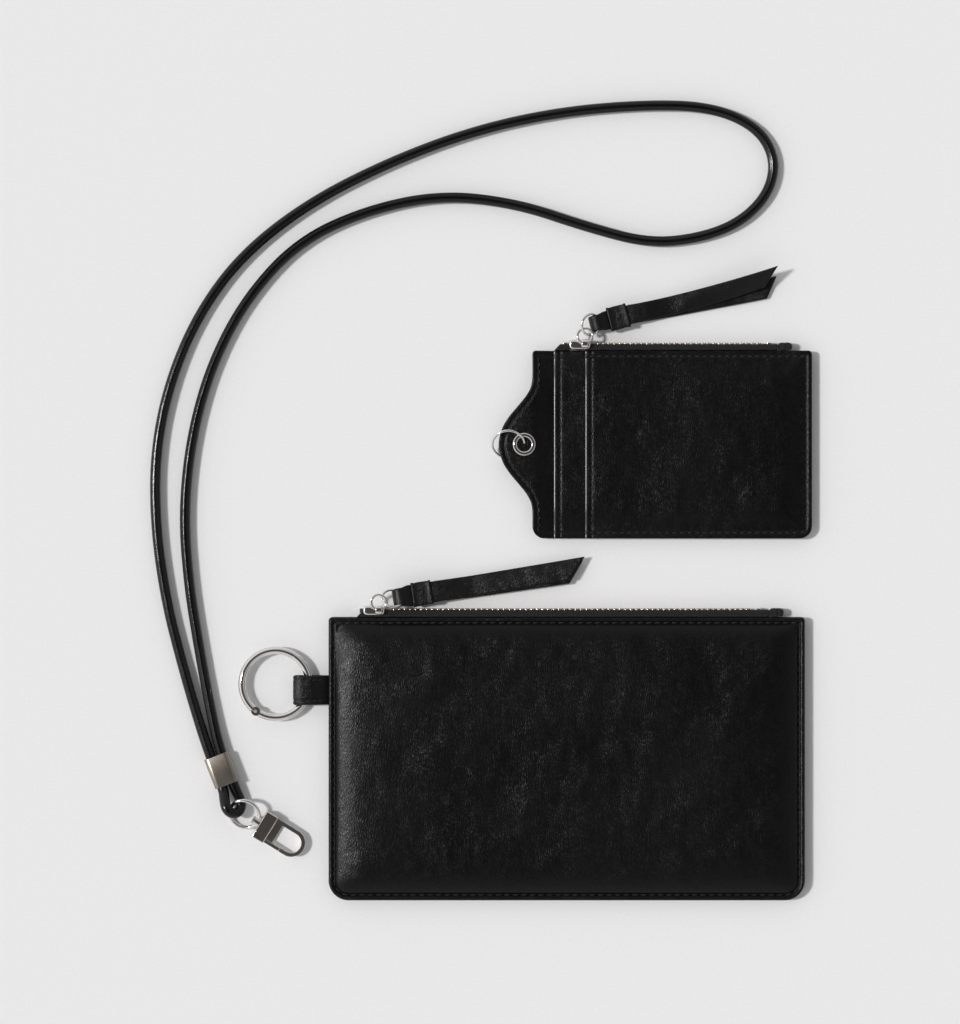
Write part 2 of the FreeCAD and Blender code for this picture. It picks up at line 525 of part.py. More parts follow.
# One cord: it starts inside the ferrule, runs up the outer strand, round the neck end, down the
# inner strand, through the ferrule, round the swivel ring and back into the ferrule.
CORD_ROUTE = [(-140.0, -4.8, 2.8), (-142.95, 2.9, 2.7), (-147.4, 16.5, CORD_Z), (-153.2, 36.5, CORD_Z),
              (-159.8, 62.0, CORD_Z), (-164.2, 92.0, CORD_Z), (-164.4, 122.0, CORD_Z), (-158.6, 150.5, CORD_Z),
              (-146.8, 178.0, CORD_Z), (-129.2, 201.5, CORD_Z), (-103.0, 221.8, CORD_Z), (-71.0, 238.0, CORD_Z),
              (-38.0, 250.4, CORD_Z), (-4.0, 258.0, CORD_Z), (30.0, 261.0, CORD_Z), (57.0, 260.3, CORD_Z),
              (75.6, 252.6, CORD_Z), (83.4, 240.0, CORD_Z), (81.0, 226.0, CORD_Z), (70.0, 214.4, CORD_Z),
              (54.0, 207.9, CORD_Z), (33.0, 205.6, CORD_Z), (8.0, 212.2, CORD_Z), (-20.0, 221.6, CORD_Z),
              (-50.0, 225.0, CORD_Z), (-80.0, 218.8, CORD_Z), (-107.0, 206.4, CORD_Z), (-127.6, 184.2, CORD_Z),
              (-141.6, 158.0, CORD_Z), (-149.8, 129.0, CORD_Z), (-153.0, 98.5, CORD_Z), (-151.0, 70.0, CORD_Z),
              (-146.8, 44.0, CORD_Z), (-142.7, 22.0, CORD_Z), (-139.05, 5.0, 2.7), (-132.65, -11.4, 2.8),
              (-129.8, -17.7, 2.2), (-130.4, -20.95, 3.5), (-132.9, -21.95, 5.8), (-135.5, -20.0, 7.1),
              (-136.4, -16.4, 5.3), (-136.9, -12.7, 3.1), (-138.5, -8.6, 2.8)]
path, radii = tube_path([V(*p) for p in CORD_ROUTE])
start = V(*CORD_ROUTE[0])
start_dir = V(*CORD_ROUTE[1]).sub(start)
section = Part.Wire(Part.makeCircle(CORD_D / 2, start, start_dir))
cord = path.makePipeShell([section], True, False)
expected = math.pi * CORD_D ** 2 / 4 * path.Length
print("cord length", round(path.Length, 1), "volume", round(cord.Volume, 1), "expected", round(expected, 1))
print("cord radii in diameters", [round(r / CORD_D, 1) for r in radii])
export("lanyard_cord", cord)

# ---- swivel and snap hook, built along their own axis ----
hook_angle = math.radians(HOOK_DIR_DEG)
hook_drop = math.radians(HOOK_DROP_DEG)
level = math.cos(hook_drop)
hook_dir = V(math.cos(hook_angle) * level, math.sin(hook_angle) * level, -math.sin(hook_drop))
hook_place = frame(SWIVEL, hook_dir, UP)
roll = FreeCAD.Placement(V(0, 0, 0), FreeCAD.Rotation(V(1, 0, 0), SWIVEL_TILT_DEG))
swivel_place = hook_place.multiply(roll)
boss_x0 = 5.0
boss_x1 = 6.9
boss = Part.makeCylinder(2.0, boss_x1 - boss_x0, V(boss_x0, 0, 0), X_AXIS)
eye = Part.makeTorus(SWIVEL_R, SWIVEL_WIRE).fuse(boss)
eye = eye.cut(Part.makeCylinder(0.85, 5, V(boss_x0 - 1, 0, 0), X_AXIS))
export("swivel_eye", placed(eye.removeSplitter(), swivel_place))

block_x0 = 7.0
block_x1 = 12.4
rivet_head = Part.makeCylinder(1.5, 1.0, V(3.85, 0, 0), X_AXIS)
rivet = Part.makeCylinder(0.8, 4.0, V(4.6, 0, 0), X_AXIS).fuse(rivet_head)
export("swivel_rivet", placed(rivet.removeSplitter(), hook_place))

loop_tip = 27.4
arc_x = loop_tip - HOOK_HALF
gate_end = 19.2
frame_block = block(block_x0, block_x1, -6, 6, -2, 2)
frame_block = frame_block.makeFillet(0.5, frame_block.Edges)
d_outer = block(block_x1 - 1, arc_x, -HOOK_HALF, HOOK_HALF, -HOOK_DEEP, HOOK_DEEP)
d_outer = d_outer.fuse(Part.makeCylinder(HOOK_HALF, 2 * HOOK_DEEP, V(arc_x, 0, -HOOK_DEEP)))
in_half = HOOK_HALF - HOOK_BAR
d_inner = block(block_x1, arc_x, -in_half, in_half, -3, 3).fuse(Part.makeCylinder(in_half, 6, V(arc_x, 0, -3)))
d_loop = d_outer.cut(d_inner).cut(block(block_x1 - 2, gate_end + 0.1, -7, -2, -3, 3))
web = block(block_x1 - 0.5, block_x1 + 3.0, -in_half - 0.2, in_half + 0.2, -2.0, -1.3)
slot = block(block_x0 + 0.9, block_x1 + 0.1, -6.5, -1.3, -1.3, 1.3)
pivot = V(9.5, -4.6, 0)
pivot_hole = Part.makeCylinder(0.6, 8, pivot.add(V(0, 0, -4)))
rivet_hole = Part.makeCylinder(0.8, 3, V(5.6, 0, 0), X_AXIS)
hook = frame_block.fuse(d_loop).fuse(web).cut(slot).cut(pivot_hole).cut(rivet_hole)
export("hook_body", placed(hook.removeSplitter(), hook_place))

gate_boss_low = -0.35
arm = block(pivot.x, gate_end, -HOOK_HALF, -in_half, -HOOK_DEEP, HOOK_DEEP)
gate_boss = Part.makeCylinder(1.35, HOOK_DEEP - gate_boss_low, pivot.add(V(0, 0, gate_boss_low)))
spring_room = Part.makeCylinder(1.75, 2, pivot.add(V(0, 0, gate_boss_low - 2)))
gate = arm.fuse(gate_boss).cut(spring_room).cut(Part.makeCylinder(0.65, 8, pivot.add(V(0, 0, -4))))
export("hook_gate", placed(gate.removeSplitter(), hook_place))
knob = Part.makeCylinder(1.0, 0.4, pivot.add(V(0, 0, 2.0)))
gate_pin = Part.makeCylinder(0.6, 4.0, pivot.add(V(0, 0, -2))).fuse(knob)
export("hook_gate_pin", placed(gate_pin.removeSplitter(), hook_place))
spring_hole = Part.makeCylinder(0.75, 4, pivot.add(V(0, 0, -2)))
spring = Part.makeCylinder(1.3, 0.75, pivot.add(V(0, 0, -1.2))).cut(spring_hole)
export("hook_gate_spring", placed(spring, hook_place))
print("hook axis", hook_dir)
print("gate pivot", hook_place.multVec(pivot), "axis", hook_place.Rotation.multVec(UP))
eye_back = swivel_place.multVec(V(-SWIVEL_R, 0, 0))
print("swivel eye hinge", eye_back, "axis", swivel_place.Rotation.multVec(V(0, 1, 0)))
print("key ring hinge", ring_hinge, "jump ring centre", jump_centre)
print(len(made), "sub-parts")
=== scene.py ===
import json
import math
from collections import namedtuple

import bmesh
import bpy
import numpy as np
from mathutils import Matrix, Vector, noise


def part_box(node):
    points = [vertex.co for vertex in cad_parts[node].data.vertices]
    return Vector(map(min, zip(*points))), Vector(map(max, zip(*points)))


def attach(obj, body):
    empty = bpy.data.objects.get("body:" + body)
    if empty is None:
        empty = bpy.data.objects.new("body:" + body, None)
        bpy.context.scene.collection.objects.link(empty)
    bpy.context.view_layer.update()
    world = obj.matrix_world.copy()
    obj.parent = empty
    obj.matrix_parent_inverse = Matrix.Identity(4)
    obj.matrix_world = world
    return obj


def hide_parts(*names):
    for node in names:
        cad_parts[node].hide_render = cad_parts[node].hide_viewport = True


# Neck pouch wallet: zip pouch, zip card case and neck lanyard, lying flat. Lengths in this file are in
# millimetres and are turned into metres where an object is made.
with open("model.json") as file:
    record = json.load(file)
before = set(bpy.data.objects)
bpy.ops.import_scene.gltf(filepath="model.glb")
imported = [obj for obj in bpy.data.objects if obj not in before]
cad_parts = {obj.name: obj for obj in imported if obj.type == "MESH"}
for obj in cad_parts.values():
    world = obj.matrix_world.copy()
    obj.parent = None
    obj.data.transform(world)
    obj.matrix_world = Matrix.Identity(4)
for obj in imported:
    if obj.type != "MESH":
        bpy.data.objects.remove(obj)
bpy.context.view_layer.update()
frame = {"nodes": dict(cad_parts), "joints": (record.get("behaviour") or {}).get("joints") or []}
MM = 0.001
UP = Vector((0, 0, 1))
scene = bpy.context.scene
joints = {j["name"]: j for j in frame["joints"]}

# ---- sizes that the looks add to the frame's own ----
SEAM_INSET = 2.3
LEATHER = 1.2
CASE_LEATHER = 0.9
TURNED_EDGE = 6.0
RIM_TOP = 5.0
CORD_D = 4.2
CORD_Z = 2.2


# ---- small helpers ----
def mm_box(node):
    """Lowest and highest corner of a CAD node, in millimetres."""
    low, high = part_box(node)
    return low / MM, high / MM


def smooth(t):
    t = np.clip(t, 0.0, 1.0)
    return t * t * (3 - 2 * t)


def bump(value, centre, width):
    return np.exp(-(((value - centre) / width) ** 2))


def edge_gaps(x, y, box):
    """Distance to the nearer side and to the nearer end of a box."""
    return np.minimum(x - box[0], box[1] - x), np.minimum(y - box[2], box[3] - y)


def rounded_min(a, b, r):
    """The smaller of two distances, with the crease where they meet rounded off over r."""
    h = np.clip(0.5 + 0.5 * (b - a) / r, 0.0, 1.0)
    return b * (1 - h) + a * h - r * h * (1 - h)


def ripple(x, y, size, seed):
    """Slow unevenness of a sheet, from about -1 to 1."""
    flat = [noise.noise(Vector((a / size, b / size, seed))) for a, b in zip(x.ravel(), y.ravel())]
    return np.array(flat).reshape(x.shape)


def shown(name, mesh, material):
    """Smooth-shaded object made of the mesh, in the scene."""
    mesh.polygons.foreach_set("use_smooth", [True] * len(mesh.polygons))
    mesh.materials.append(material)
    obj = bpy.data.objects.new(name, mesh)
    scene.collection.objects.link(obj)
    return obj


def new_object(name, points, faces, material, closed=True, second=None, second_faces=()):
    """Object from points in millimetres; the faces numbered in second_faces take the second material."""
    mesh = bpy.data.meshes.new(name)
    mesh.from_pydata([(p[0] * MM, p[1] * MM, p[2] * MM) for p in points], [], faces)
    if closed:
        bm = bmesh.new()
        bm.from_mesh(mesh)
        bmesh.ops.recalc_face_normals(bm, faces=bm.faces)
        bm.to_mesh(mesh)
        bm.free()
    obj = shown(name, mesh, material)
    if second:
        mesh.materials.append(second)
        for index in second_faces:
            mesh.polygons[index].material_index = 1
    mesh.update()
    return obj


def settle(obj, body, slot, *nodes):
    """Put a finished piece on its body and hide the CAD nodes that it stands for; slot is not used."""
    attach(obj, body)
    if nodes:
        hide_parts(*nodes)
    return obj


def loft_faces(rings, count, closed_rings=False):
    """Quads between rings of count points each, with one flat face on each end of an open loft."""
    faces = []
    last = rings if closed_rings else rings - 1
    for i in range(last):
        a = i * count
        b = ((i + 1) % rings) * count
        for j in range(count):
            k = (j + 1) % count
            faces.append((a + j, a + k, b + k, b + j))
    if not closed_rings:
        faces.append(tuple(range(count - 1, -1, -1)))
        faces.append(tuple((rings - 1) * count + j for j in range(count)))
    return faces


def add_part(points, faces, more, quads):
    """Add a part's points and faces to the ones gathered so far."""
    faces += [tuple(v + len(points) for v in f) for f in quads]
    points += more


def heading(line, i):
    """Step along the line from the point before i to the one after it."""
    return line[min(i + 1, len(line) - 1)] - line[max(i - 1, 0)]


def circle(sides):
    """Cosine and sine of even steps round a circle."""
    for k in range(sides):
        yield math.cos(2 * math.pi * k / sides), math.sin(2 * math.pi * k / sides)


def squared(value, power):
    """A cosine or sine bent towards 1, which turns a circle into a rounded box."""
    return math.copysign(abs(value) ** power, value)


def rounded_edge(y, half, thick):
    """Height of a strip's face at y from its middle line, where the edge is rounded over."""
    edge = max(0.0, (abs(y) - half) / (thick / 2) + 1)
    return thick / 2 * math.sqrt(max(0.0, 1 - edge ** 2))


def curve_points(points, per_span):
    """Catmull-Rom curve through the points."""
    p = [np.array(q, float) for q in points]
    p = [2 * p[0] - p[1]] + p + [2 * p[-1] - p[-2]]
    out = []
    for a, b, c, d in zip(p, p[1:], p[2:], p[3:]):
        for k in range(per_span):
            t = k / per_span
            out.append(0.5 * (2 * b + (c - a) * t + (2 * a - 5 * b + 4 * c - d) * t * t
                              + (3 * b - a - 3 * c + d) * t ** 3))
    out.append(p[-2])
    return out


# ---- materials ----
def feed(socket, value):
    """Set a socket to a value, or link it to another node's output."""
    if hasattr(value, "is_linked"):
        socket.id_data.links.new(value, socket)
    else:
        socket.default_value = value


def add_node(tree, kind, inputs, **settings):
    """Add a node, feed its inputs and return its outputs."""
    n = tree.nodes.new(kind)
    for key, value in settings.items():
        setattr(n, key, value)
    for key, value in inputs.items():
        feed(n.inputs[key], value)
    return n.outputs


def colour_ramp(tree, fac, stops):
    """Colour read off a ramp, whose stops each have a place and a colour."""
    r = tree.nodes.new("ShaderNodeValToRGB")
    elements = r.color_ramp.elements
    elements[0].position = stops[0][0]
    elements[0].color = (*stops[0][1], 1)
    elements[1].position = stops[-1][0]
    elements[1].color = (*stops[-1][1], 1)
    for place, colour in stops[1:-1]:
        elements.new(place).color = (*colour, 1)
    feed(r.inputs["Fac"], fac)
    return r.outputs["Color"]


class Shader:
    """One node material, built up from its principled shader."""

    def __init__(self, name):
        self.material = bpy.data.materials.new(name)
        self.material.use_nodes = True
        self.tree = self.material.node_tree
        self.bsdf = self.tree.nodes["Principled BSDF"].inputs
        place = self.node("ShaderNodeTexCoord", {})["Object"]
        self.mm = self.node("ShaderNodeVectorMath", {0: place, "Scale": 1 / MM}, operation="SCALE")[0]

    def node(self, kind, inputs, **settings):
        return add_node(self.tree, kind, inputs, **settings)

    def mapped(self, vector, scale, turn=(0, 0, 0)):
        return self.node("ShaderNodeMapping", {"Vector": vector, "Scale": scale, "Rotation": turn})[0]

    def noise(self, scale, detail=3.0, stretch=None, distortion=0.0):
        """Noise whose scale is in features per millimetre; stretch is a scale and a turn."""
        place = self.mapped(self.mm, *stretch) if stretch else self.mm
        inputs = {"Vector": place, "Scale": scale, "Detail": detail, "Distortion": distortion}
        return self.node("ShaderNodeTexNoise", inputs)["Fac"]

    def cells(self, scale, vector, feature):
        inputs = {"Vector": vector, "Scale": scale}
        return self.node("ShaderNodeTexVoronoi", inputs, feature=feature)["Distance"]

    def jittered(self, vector, amount, scale):
        """The vector pushed about by a noise of its own."""
        push = self.node("ShaderNodeTexNoise", {"Vector": vector, "Scale": scale})["Color"]
        inputs = {0: push, 1: (amount, amount, amount), 2: vector}
        return self.node("ShaderNodeVectorMath", inputs, operation="MULTIPLY_ADD")[0]

    def math(self, operation, *values):
        return self.node("ShaderNodeMath", dict(enumerate(values)), operation=operation)[0]

    def blend(self, a, b, share=0.5):
        """Weighted mean of two values, with a's share given."""
        return self.math("ADD", self.math("MULTIPLY", a, share), self.math("MULTIPLY", b, 1 - share))

    def ramp(self, fac, low, high, from_low=0.3, from_high=0.7):
        inputs = {"Value": fac, "From Min": from_low, "From Max": from_high, "To Min": low, "To Max": high}
        return self.node("ShaderNodeMapRange", inputs)[0]

    def colour(self, fac, dark, light):
        feed(self.bsdf["Base Color"], colour_ramp(self.tree, fac, ((0.3, dark), (0.7, light))))

    def height(self, value, depth_mm):
        inputs = {"Height": value, "Strength": 1.0, "Distance": depth_mm * MM}
        feed(self.bsdf["Normal"], self.node("ShaderNodeBump", inputs)["Normal"])

    def set(self, **values):
        for key, value in values.items():
            feed(self.bsdf[key.replace("_", " ")], value)
        return self.material


def leather_material(name, grain=1.0, depth=0.062, rough=(0.30, 0.42), tone=1.0, gloss=0.22):
    """Black faced leather: long pebbles with creases between them, slow swirls in the grain, worn gloss."""
    s = Shader(name)
    long = s.mapped(s.jittered(s.mm, 14.0, 0.05), (1.30 / grain, 0.56 / grain, 1.0 / grain))
    pebbles = s.cells(1.0, s.jittered(long, 0.35, 1.1), "DISTANCE_TO_EDGE")
    domes = s.ramp(pebbles, 0.0, 1.0, 0.0, 0.26)
    fine = s.noise(2.6 / grain, 3.0)
    creases = s.noise(0.30 / grain, 4.0, stretch=((1.0, 0.4, 1.0), (0, 0, 0.4)), distortion=0.9)
    broad = s.noise(0.03, 3.0)
    height = s.math("MULTIPLY_ADD", domes, 0.62, s.math("MULTIPLY", fine, 0.28))
    height = s.math("ADD", height, s.math("MULTIPLY", creases, 1.6))
    s.height(height, depth)
    dark = tuple(c * tone for c in (0.0010, 0.0010, 0.0011))
    light = tuple(c * tone for c in (0.0026, 0.0025, 0.0029))
    s.colour(s.blend(broad, domes), dark, light)
    return s.set(Roughness=s.ramp(s.blend(creases, broad), *rough), Specular_IOR_Level=gloss)


def woven_material(name, dark, light, pitch, depth=0.08, rough=0.8):
    """Cloth or braid: fine crossing ribs at the thread pitch."""
    s = Shader(name)
    waves = []
    for direction in ("X", "Y"):
        inputs = {"Vector": s.mm, "Scale": 0.31 / pitch, "Distortion": 0.6}
        wave = s.node("ShaderNodeTexWave", inputs, bands_direction=direction, wave_profile="SIN")
        waves.append(wave["Fac"])
    weave = s.math("MULTIPLY", waves[0], waves[1])
    fuzz = s.noise(2.5, 4.0)
    s.height(s.math("ADD", weave, s.math("MULTIPLY", fuzz, 0.5)), depth)
    s.colour(s.blend(weave, fuzz, 0.6), dark, light)
    return s.set(Roughness=s.ramp(fuzz, rough - 0.1, rough + 0.1), Sheen_Weight=0.12, Specular_IOR_Level=0.3)


def metal_material(name, dark, light, rough, brushed=None, scratch=0.004):
    """Plated metal: slow tone changes, fine rubbing marks, brushed along one axis if asked."""
    s = Shader(name)
    marks = s.noise(1.4, 4.0, stretch=brushed)
    broad = s.noise(0.12, 2.0)
    s.colour(s.blend(broad, marks, 0.7), dark, light)
    s.height(marks, scratch)
    return s.set(Metallic=1.0, Roughness=s.ramp(marks, *rough))


def floor_material():
    s = Shader("studio_paper")
    grain = s.noise(0.9, 4.0)
    s.colour(grain, (0.775, 0.775, 0.78), (0.80, 0.80, 0.805))
    s.height(grain, 0.02)
    return s.set(Roughness=s.ramp(grain, 0.85, 0.95), Specular_IOR_Level=0.1)


BLACK_LEATHER = leather_material("black_leather")
STRAP_LEATHER = leather_material("strap_leather", 0.58, 0.055, (0.30, 0.42), tone=1.6, gloss=0.26)
CORD_LEATHER = leather_material("cord_leather", 0.8, 0.022, (0.17, 0.25), tone=1.4, gloss=0.36)
# Coat on cut leather edges. The coat is real, but its light tone and gloss also stand in for the highlight
# that the rounded edges catch, so it is partly painted highlight.
EDGE_PAINT_AND_HIGHLIGHT = leather_material("edge_paint_and_painted_highlight", 0.7, 0.006, (0.26, 0.36), tone=9.0, gloss=0.9)
LINING = woven_material("lining_cloth", (0.012, 0.012, 0.013), (0.03, 0.03, 0.032), 0.35, 0.04)
TAPE = woven_material("zip_tape_weave", (0.003, 0.003, 0.003), (0.012, 0.0115, 0.011), 0.55, 0.22, 0.72)
THREAD = woven_material("sewing_thread", (0.008, 0.008, 0.008), (0.028, 0.027, 0.026), 0.3, 0.08, 0.5)
NICKEL = metal_material("nickel_plate", (0.70, 0.67, 0.64), (0.86, 0.84, 0.82), (0.05, 0.12), scratch=0.002)
BRUSHED = metal_material("brushed_ferrule", (0.30, 0.265, 0.23), (0.40, 0.36, 0.315), (0.30, 0.38),
                         brushed=((9.0, 0.5, 1.0), (0, 0, -0.37)), scratch=0.002)
TEETH = metal_material("antique_teeth", (0.34, 0.28, 0.20), (0.66, 0.58, 0.47), (0.2, 0.34))
STEEL = metal_material("pin_steel", (0.42, 0.41, 0.40), (0.60, 0.59, 0.58), (0.22, 0.35))

# ---- camera, then the cord ----
VIEW_CENTRE = (-34.6, 98.4)
VIEW_TALL = 409.6
CAMERA_HIGH = 1300.0
camera_data = bpy.data.cameras.new("camera")
camera_data.sensor_width = 36.0
camera_data.lens = camera_data.sensor_width * CAMERA_HIGH / VIEW_TALL
camera_data.clip_end = 20
camera = bpy.data.objects.new("camera", camera_data)
camera.location = (VIEW_CENTRE[0] * MM, VIEW_CENTRE[1] * MM, CAMERA_HIGH * MM)
scene.collection.objects.link(camera)
scene.camera = camera

# The cord starts inside the ferrule, runs up the outer strand, round the neck end, down the inner
# strand, through the ferrule, round the swivel ring and back into the ferrule.
CORD_START = [(-140.0, -4.8, 2.8), (-142.95, 2.9, 2.7)]
CORD_ON_FLOOR = [
    (-147.4, 16.5), (-153.2, 36.5), (-159.8, 62.0), (-164.2, 92.0), (-164.4, 122.0), (-158.6, 150.5),
    (-146.8, 178.0), (-129.2, 201.5), (-103.0, 221.8), (-71.0, 238.0), (-38.0, 250.4), (-4.0, 258.0),
    (30.0, 261.0), (57.0, 260.3), (75.6, 252.6), (83.4, 240.0), (81.0, 226.0), (70.0, 214.4), (54.0, 207.9),
    (33.0, 205.6), (8.0, 212.2), (-20.0, 221.6), (-50.0, 225.0), (-80.0, 218.8), (-107.0, 206.4),
    (-127.6, 184.2), (-141.6, 158.0), (-149.8, 129.0), (-153.0, 98.5), (-151.0, 70.0), (-146.8, 44.0),
    (-142.7, 22.0)]
CORD_END = [
    (-139.05, 5.0, 2.7), (-132.65, -11.4, 2.8), (-129.8, -17.7, 2.2), (-130.4, -20.95, 3.5),
    (-132.9, -21.95, 5.8), (-135.5, -20.0, 7.1), (-136.4, -16.4, 5.3), (-136.9, -12.7, 3.1),
    (-138.5, -8.6, 2.8)]
CORD_ROUTE = CORD_START + [(x, y, CORD_Z) for x, y in CORD_ON_FLOOR] + CORD_END


def route_line(route):
    """Points along the smooth spline that has the route's points as its control points, in millimetres."""
    data = bpy.data.curves.new("cord_route", "CURVE")
    data.dimensions = "3D"
    spline = data.splines.new("NURBS")
    spline.points.add(len(route) - 1)
    for point, place in zip(spline.points, route):
        point.co = (*[c * MM for c in place], 1)
    spline.order_u = 3
    spline.use_endpoint_u = True
    spline.resolution_u = 14
    obj = bpy.data.objects.new("cord_route", data)
    scene.collection.objects.link(obj)
    bpy.context.view_layer.update()
    mesh = bpy.data.meshes.new_from_object(obj)
    line = [mesh.vertices[0].co / MM]
    for vertex in mesh.vertices[1:]:
        if (vertex.co / MM - line[-1]).length > 0.05:
            line.append(vertex.co / MM)
    bpy.data.objects.remove(obj)
    bpy.data.meshes.remove(mesh)
    return line


def tube_rings(line, radius_at, sides):
    """Rings of points round a line, with a frame carried along it without twist."""
    up = UP
    points = []
    for i, here in enumerate(line):
        along = heading(line, i).normalized()
        up = (up - along * up.dot(along)).normalized()
        side = along.cross(up)
        for k in range(sides):
            angle = 2 * math.pi * k / sides
            r = radius_at(i, angle)
            points.append(here + side * (math.cos(angle) * r) + up * (math.sin(angle) * r))
    return points


def make_cord():
    """Leather rolled round a core: a round section with one pressed seam running along it."""
    line = route_line(CORD_ROUTE)
    sides = 28
    seam_at = 0.9
    seam_wide = 0.17
    seam_deep = 0.16

    def radius_at(i, angle):
        wander = 0.12 * math.sin(i * 0.031) + 0.08 * math.sin(i * 0.083 + 1.0)
        gap = (angle - seam_at - wander + math.pi) % (2 * math.pi) - math.pi
        lip = 0.03 * math.exp(-((abs(gap) - 2.2 * seam_wide) / seam_wide) ** 2)
        return CORD_D / 2 * (1 - 0.012 + lip) - seam_deep * math.exp(-((gap / seam_wide) ** 2))

    points = tube_rings(line, radius_at, sides)
    cord = new_object("neck_cord", points, loft_faces(len(line), sides), CORD_LEATHER)
    settle(cord, "lanyard", "cord", "lanyard_cord")


make_cord()


# ---- sheets of leather ----
def spread(low, high, insets_low, insets_high, step):
    """Grid lines from low to high: the insets at each end, and an even step between them."""
    a = [low + i for i in insets_low]
    b = [high - i for i in insets_high[::-1]]
    count = max(2, int((b[0] - a[-1]) / step))
    middle = [a[-1] + (b[0] - a[-1]) * k / count for k in range(1, count)]
    return np.array(a + middle + b)


# Insets of the grid lines beside a turned edge, close together where the edge rolls over and at the seam's
# groove, and beside a cut edge
FINE = (0, 0.12, 0.3, 0.5, 0.75, 1.05, 1.4, 1.7, 1.95, 2.15, 2.3, 2.45, 2.65, 2.9, 3.3, 3.9, 4.7, 5.6, 6.1,
        6.6, 7.6)
CUT_EDGE = (0, 0.05, 0.14, 0.26, 0.42, 0.8, 1.4, 2.0, 2.3, 2.5, 2.7, 2.95, 3.4, 4.2)


def round_corners(x, y, box, low_r, top_r, sides=(-1, 1)):
    """Bend the grid's square corners into arcs, on the left side, the right side or both."""
    for sx in sides:
        for sy, r in ((-1, low_r), (1, top_r)):
            cx = (box[1] if sx > 0 else box[0]) - sx * r
            cy = (box[3] if sy > 0 else box[2]) - sy * r
            a = (x - cx) * sx
            b = (y - cy) * sy
            inside = (a > 0) & (b > 0)
            reach = np.maximum(a, b)[inside]
            length = np.hypot(a, b)[inside]
            x[inside] = cx + sx * a[inside] / length * reach
            y[inside] = cy + sy * b[inside] / length * reach


def sheet_object(name, x, y, top, bottom, material, edge_material=None, edge_columns=0):
    """Closed sheet between two height fields that meet along its border; its first columns may take the
    lighter edge coat, which is partly painted highlight.
    """
    rows, cols = x.shape
    upper = np.arange(rows * cols).reshape(rows, cols)
    lower = upper.copy()
    lower[1:-1, 1:-1] = np.arange((rows - 2) * (cols - 2)).reshape(rows - 2, cols - 2) + rows * cols
    points = list(zip(x.ravel(), y.ravel(), top.ravel()))
    inner = (slice(1, -1), slice(1, -1))
    points += list(zip(x[inner].ravel(), y[inner].ravel(), bottom[inner].ravel()))
    faces = []
    for grid, turn in ((upper, 1), (lower, -1)):
        quads = np.stack([grid[:-1, :-1], grid[:-1, 1:], grid[1:, 1:], grid[1:, :-1]], axis=-1).reshape(-1, 4)
        faces += [tuple(int(v) for v in q[::turn]) for q in quads]
    across = cols - 1
    painted = [i for i in range(len(faces)) if i % across < edge_columns] if edge_material else ()
    return new_object(name, points, faces, material, second=edge_material, second_faces=painted)


def rolled(top, bottom, depth, radius):
    """Bring both faces together at the border in a rounded edge."""
    t = np.clip(depth / radius, 0, 1)
    pinch = 1 - np.sqrt(np.maximum(0, 1 - (1 - t) ** 2))
    middle = (top + bottom) / 2
    return top - (top - middle) * pinch, bottom + (middle - bottom) * pinch


# ---- pouch ----
front_high = mm_box("pouch_front_panel")[1]
back_low, back_high = mm_box("pouch_back_panel")
POUCH = (back_low.x, back_high.x, back_low.y, back_high.y)
POUCH_CORNER = 8.0
POUCH_TOP_CORNER = 1.5
RIM_MEET = 2.6
LINING_INSET = 6.6


def pouch_grid(inset, step):
    """Grid over the pouch's outline, moved in by inset, and each point's distance from the edge."""
    insets = tuple(i for i in FINE if i >= inset) if inset else FINE
    xs = spread(POUCH[0], POUCH[1], insets, insets, step)
    ys = spread(POUCH[2], POUCH[3], insets, insets, step)
    x, y = np.meshgrid(xs, ys)
    depth = np.minimum(*edge_gaps(x, y, POUCH))
    round_corners(x, y, POUCH, POUCH_CORNER, POUCH_TOP_CORNER)
    return x, y, depth


def pouch_crown(x, y, depth):
    """Height of the front's outer face: flat rim, stitched groove, then a soft pillow without mitres."""
    rise = front_high.z - RIM_TOP - 0.35
    inner = rounded_min(*edge_gaps(x, y, POUCH), 6.0)
    seam = 0.75 * bump(depth, SEAM_INSET, 0.55)
    slow = 0.34 * ripple(x, y, 30, 1.7) + 0.16 * ripple(x, y, 12, 5.1)
    dent = 0.5 * bump(x, 26, 14) * bump(y, -10, 17)
    corner = 0.9 * bump(x, POUCH[0], 15) * bump(y, POUCH[3] - 6, 17)
    centre = smooth((depth - 6) / 14)
    pillow = 1 - np.exp(-np.maximum(inner - 2.6, 0) / 5.2)
    start = smooth((depth - 2.3) / 1.6)
    grain = 0.03 * ripple(x, y, 4, 9.0)
    return RIM_TOP + rise * pillow * start - seam + centre * (slow - dent) - corner * start + grain


